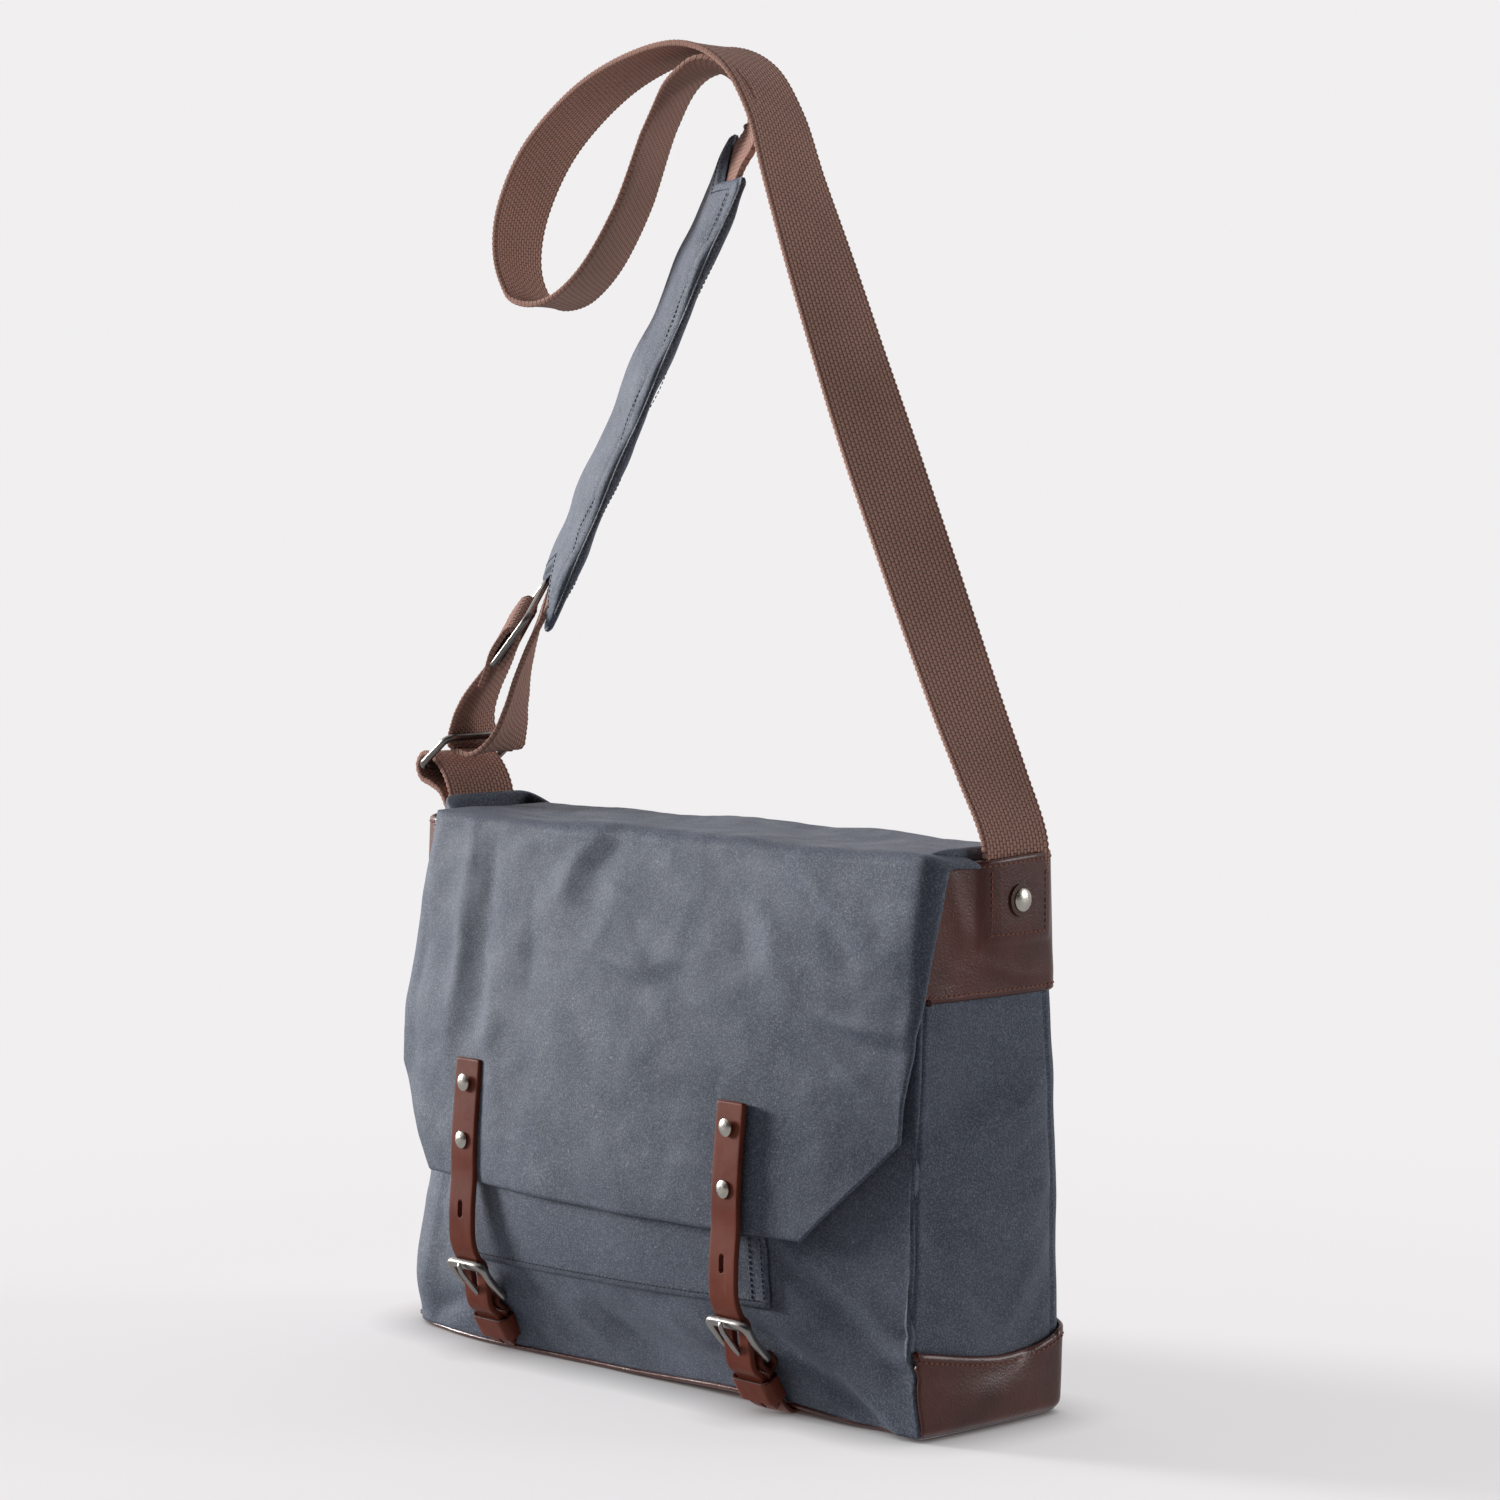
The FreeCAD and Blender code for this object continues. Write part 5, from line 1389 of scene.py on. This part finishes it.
def shoulder_pad():
    """Two quilted faces of waxed cotton, joined by a piped edge, with stitching round them."""
    along, widthways, outward = run_directions(PAD_HEADING)
    foot = np.array((RUN_FOOT[0], WEB_Y, RUN_FOOT[1])) - along * 21.5
    across = np.sin(np.linspace(-1, 1, 41) * math.pi / 2) * PAD_HALF
    rows = 170
    seam_half = PAD_HALF - 5.5

    def point(u, v, height):
        return foot + widthways * u - along * v + outward * height

    def puff(u, v, face):
        edge = math.sqrt(max(1 - (abs(u) / PAD_HALF) ** 2.6, 0))
        ends = min(v, PAD_LENGTH - v)
        waves = 0.9 * math.sin(v / 9.5 + u / 30 + face) * (0.35 + 0.65 * (abs(u) / PAD_HALF))
        rumples = 0.9 * noise.noise(Vector((u / 16, v / 19, face * 7.0))) + waves
        seam = -0.7 * math.exp(-((abs(u) - seam_half) / 1.3) ** 2)
        return 1.0 + 4.6 * edge * min(1, 0.62 + ends / 60) + rumples * 0.95 * min(ends / 18, 1) + seam

    vertices, uvs = [], []
    for r in range(rows):
        share = r / (rows - 1)
        for face in (1, -1):
            order = across if face == 1 else across[::-1][1:-1]
            for u in order:
                low, high = pad_end(u, True), pad_end(u, False)
                v = low + (high - low) * share
                wave = pad_wave(v) * (abs(u) / PAD_HALF) ** 3
                sideways = u + math.copysign(1, u) * wave * 0.7
                flatten = min(min(share, 1 - share) * (rows - 1) / 2.0, 1) ** 0.5
                vertices.append(point(sideways, v, face * puff(u, v, face) * (0.35 + 0.65 * flatten)))
                uvs.append((u, v))
    columns = len(vertices) // rows
    faces = [face[::-1] for face in grid_faces(rows, columns, closed=True)]
    faces += end_caps(columns, rows, len(across))
    piece = new_mesh("pad_cloth", vertices, faces, uvs)
    belongs(piece, "shoulder_pad", "waxed_cotton", cotton, "pad_cover")
    core = [[point(u, v, 1.8) for u in np.linspace(20, -20, 12)]
            for v in np.linspace(26, PAD_LENGTH - 26, 40)]
    core = thick_sheet("pad_core", np.array(core), 3.4)
    belongs(core, "shoulder_pad", "foam", foam, "pad_foam")

    ring = [(1.15 * c, 1.15 * s) for c, s in circle(10)]
    for edge, sign in (("front", -1), ("rear", 1)):
        route = [point(sign * (PAD_HALF + pad_wave(v) * 0.7 + 0.4), v, 0)
                 for v in np.linspace(4, PAD_LENGTH - 4, 90)]
        line, at = resample(route, 1.6)
        # The piping cord is real; its darker cloth is painted shade in the seam between the pad's two faces.
        piping = band(f"pad_piping_{edge}", line, np.tile(outward, (len(line), 1)), ring, at)
        belongs(piping, "shoulder_pad", "waxed_cotton", piping_shade_cloth)
        for where, face in (("out", 1), ("in", -1)):
            seam = [point(sign * seam_half, v, face * (puff(seam_half, v, face) + 0.12))
                    for v in np.linspace(10, PAD_LENGTH - 10, 110)]
            sew_finely(f"pad_thread_{edge}_{where}", seam, "shoulder_pad")
    for end, low, inward in (("low", True, 7), ("high", False, -7)):
        for where, face in (("out", 1), ("in", -1)):
            seam = []
            for u in np.linspace(-PAD_HALF + 6, PAD_HALF - 6, 40):
                v = pad_end(u, low) + inward
                seam.append(point(u, v, face * (puff(u, v, face) + 0.12)))
            sew_finely(f"pad_thread_{end}_{where}", seam, "shoulder_pad")


def end_caps(columns, rows, wide):
    """Faces that join the pad's two sides at both ends."""
    faces = []
    for row, flip in ((0, False), (rows - 1, True)):
        base = row * columns
        upper = [base + k for k in range(wide)]
        lower = [base] + [base + columns - k for k in range(1, wide - 1)] + [base + wide - 1]
        for k in range(wide - 1):
            face = tuple(dict.fromkeys((upper[k], upper[k + 1], lower[k + 1], lower[k])))
            if len(face) > 2:
                faces.append(face if flip else face[::-1])
    return faces


# ---------------------------------------------------------------- light, floor and camera

BACKDROP = (0.88, 0.865, 0.872, 1)


def floor_material():
    """Pale paper, lit near the bag and plain glowing paper further off. Near the bag it also glows, and an
    occlusion node darkens that glow as a painted contact shadow. To all but camera rays it is a dimmer painted
    glow that stands in for light bounced off the floor.
    """
    n = Nodes("floor_look", (0.44, 0.432, 0.436), 0.9)
    n.shader.inputs["Specular IOR Level"].default_value = 0.0
    # Painted contact shadow: an occlusion node darkens the floor's glow close to the bag.
    painted_contact_shadow = n.node("AmbientOcclusion", samples=8)
    painted_contact_shadow.inputs["Color"].default_value = BACKDROP
    painted_contact_shadow.inputs["Distance"].default_value = 0.03
    n.link(painted_contact_shadow.outputs["Color"], n.shader.inputs["Emission Color"])
    n.shader.inputs["Emission Strength"].default_value = 0.57
    paper = n.node("Emission")
    paper.inputs["Color"].default_value = BACKDROP
    # Painted bounce light: to all but camera rays the floor is a dim glow, not a reflecting surface.
    painted_bounce_glow = n.node("Emission")
    painted_bounce_glow.inputs["Color"].default_value = (0.42, 0.413, 0.416, 1)
    away = n.node("VectorMath", operation="LENGTH")
    n.link(n.coordinates(), away.inputs[0])
    far = n.node("MapRange", interpolation_type="SMOOTHSTEP")
    far.inputs["From Min"].default_value = 0.34
    far.inputs["From Max"].default_value = 0.80
    n.link(away.outputs["Value"], far.inputs["Value"])

    def blend(share, first, second):
        node = n.node("MixShader")
        n.link(share, node.inputs[0])
        n.link(first.outputs[0], node.inputs[1])
        n.link(second.outputs[0], node.inputs[2])
        return node

    lit = blend(far.outputs[0], n.shader, paper)
    surface = blend(n.node("LightPath").outputs["Is Camera Ray"], painted_bounce_glow, lit)
    n.link(surface.outputs[0], n.tree.nodes["Material Output"].inputs["Surface"])
    return n.material


def studio_world():
    """Pale all round to the camera; as light, bright towards the upper left rear and dim opposite it."""
    world = bpy.data.worlds.new("studio")
    world.use_nodes = True
    tree = world.node_tree
    direction = tree.nodes.new("ShaderNodeTexCoord")
    facing = tree.nodes.new("ShaderNodeVectorMath")
    facing.operation = "DOT_PRODUCT"
    facing.inputs[1].default_value = (-0.82, 0.45, 0.35)
    shade = tree.nodes.new("ShaderNodeMapRange")
    shade.inputs["From Min"].default_value = -0.25
    shade.inputs["From Max"].default_value = 0.70
    shade.inputs["To Min"].default_value = 0.03
    shade.inputs["To Max"].default_value = 1.0
    tree.links.new(direction.outputs["Generated"], facing.inputs[0])
    tree.links.new(facing.outputs["Value"], shade.inputs["Value"])
    strength = tree.nodes.new("ShaderNodeMath")
    strength.operation = "MAXIMUM"
    tree.links.new(shade.outputs[0], strength.inputs[0])
    tree.links.new(tree.nodes.new("ShaderNodeLightPath").outputs["Is Camera Ray"], strength.inputs[1])
    tree.links.new(strength.outputs[0], tree.nodes["Background"].inputs[1])
    tree.nodes["Background"].inputs[0].default_value = BACKDROP
    return world


def stage():
    """Floor, world and two soft suns: a key from the left front and a weak one from the right rear."""
    size = 60
    corners = [(-size, -size, 0), (size, -size, 0), (size, size, 0), (-size, size, 0)]
    mesh = bpy.data.meshes.new("floor")
    mesh.from_pydata(corners, [], [(0, 1, 2, 3)])
    floor = bpy.data.objects.new("floor", mesh)
    bpy.context.collection.objects.link(floor)
    floor.data.materials.append(floor_material())
    bpy.context.scene.world = studio_world()
    bpy.context.scene.view_settings.view_transform = "Standard"
    suns = (("key", 3.9, 16, (0.87, 0.37, -0.22)), ("side", 0.8, 22, (-0.66, -0.68, -0.22)))
    for name, power, spread, beam in suns:
        sun = bpy.data.lights.new(name, "SUN")
        sun.energy = power
        sun.angle = math.radians(spread)
        lamp = bpy.data.objects.new(name, sun)
        lamp.rotation_euler = Vector(beam).to_track_quat("-Z", "Y").to_euler()
        bpy.context.collection.objects.link(lamp)


def camera():
    """Camera at the right front, looking slightly down at the bag through a long lens."""
    lens = bpy.data.cameras.new("camera")
    lens.lens = 95.94
    lens.sensor_width = 36
    eye = bpy.data.objects.new("camera", lens)
    eye.location = (1.366, -1.2464, 0.4081)
    turn, down = math.radians(47.1018), math.radians(3.7347)
    look = Vector((-math.sin(turn) * math.cos(down), math.cos(turn) * math.cos(down), -math.sin(down)))
    eye.rotation_euler = look.to_track_quat("-Z", "Y").to_euler()
    bpy.context.collection.objects.link(eye)
    bpy.context.scene.camera = eye


washer_hide = leather("washer_look", (0.070, 0.026, 0.019), (0.12, 0.05, 0.038), 0.4)
# Piping cloth, much darker than the pad's: painted shade in the seam between the pad's two faces, on real
# piping.
piping_shade_cloth = waxed_cotton("piping_painted_shade_look", (0.030, 0.035, 0.046), (0.050, 0.056, 0.072))

bag_shell()
bag_lining()
base_leather()
gusset_patches()
front_pocket()
inner_pocket()
mouth_collar()
flap()
closure_straps()
buckles()
buckle_anchors()
shoulder_strap()
slider()
shoulder_pad()
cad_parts["base_board"].data.materials[0] = board
stage()
camera()
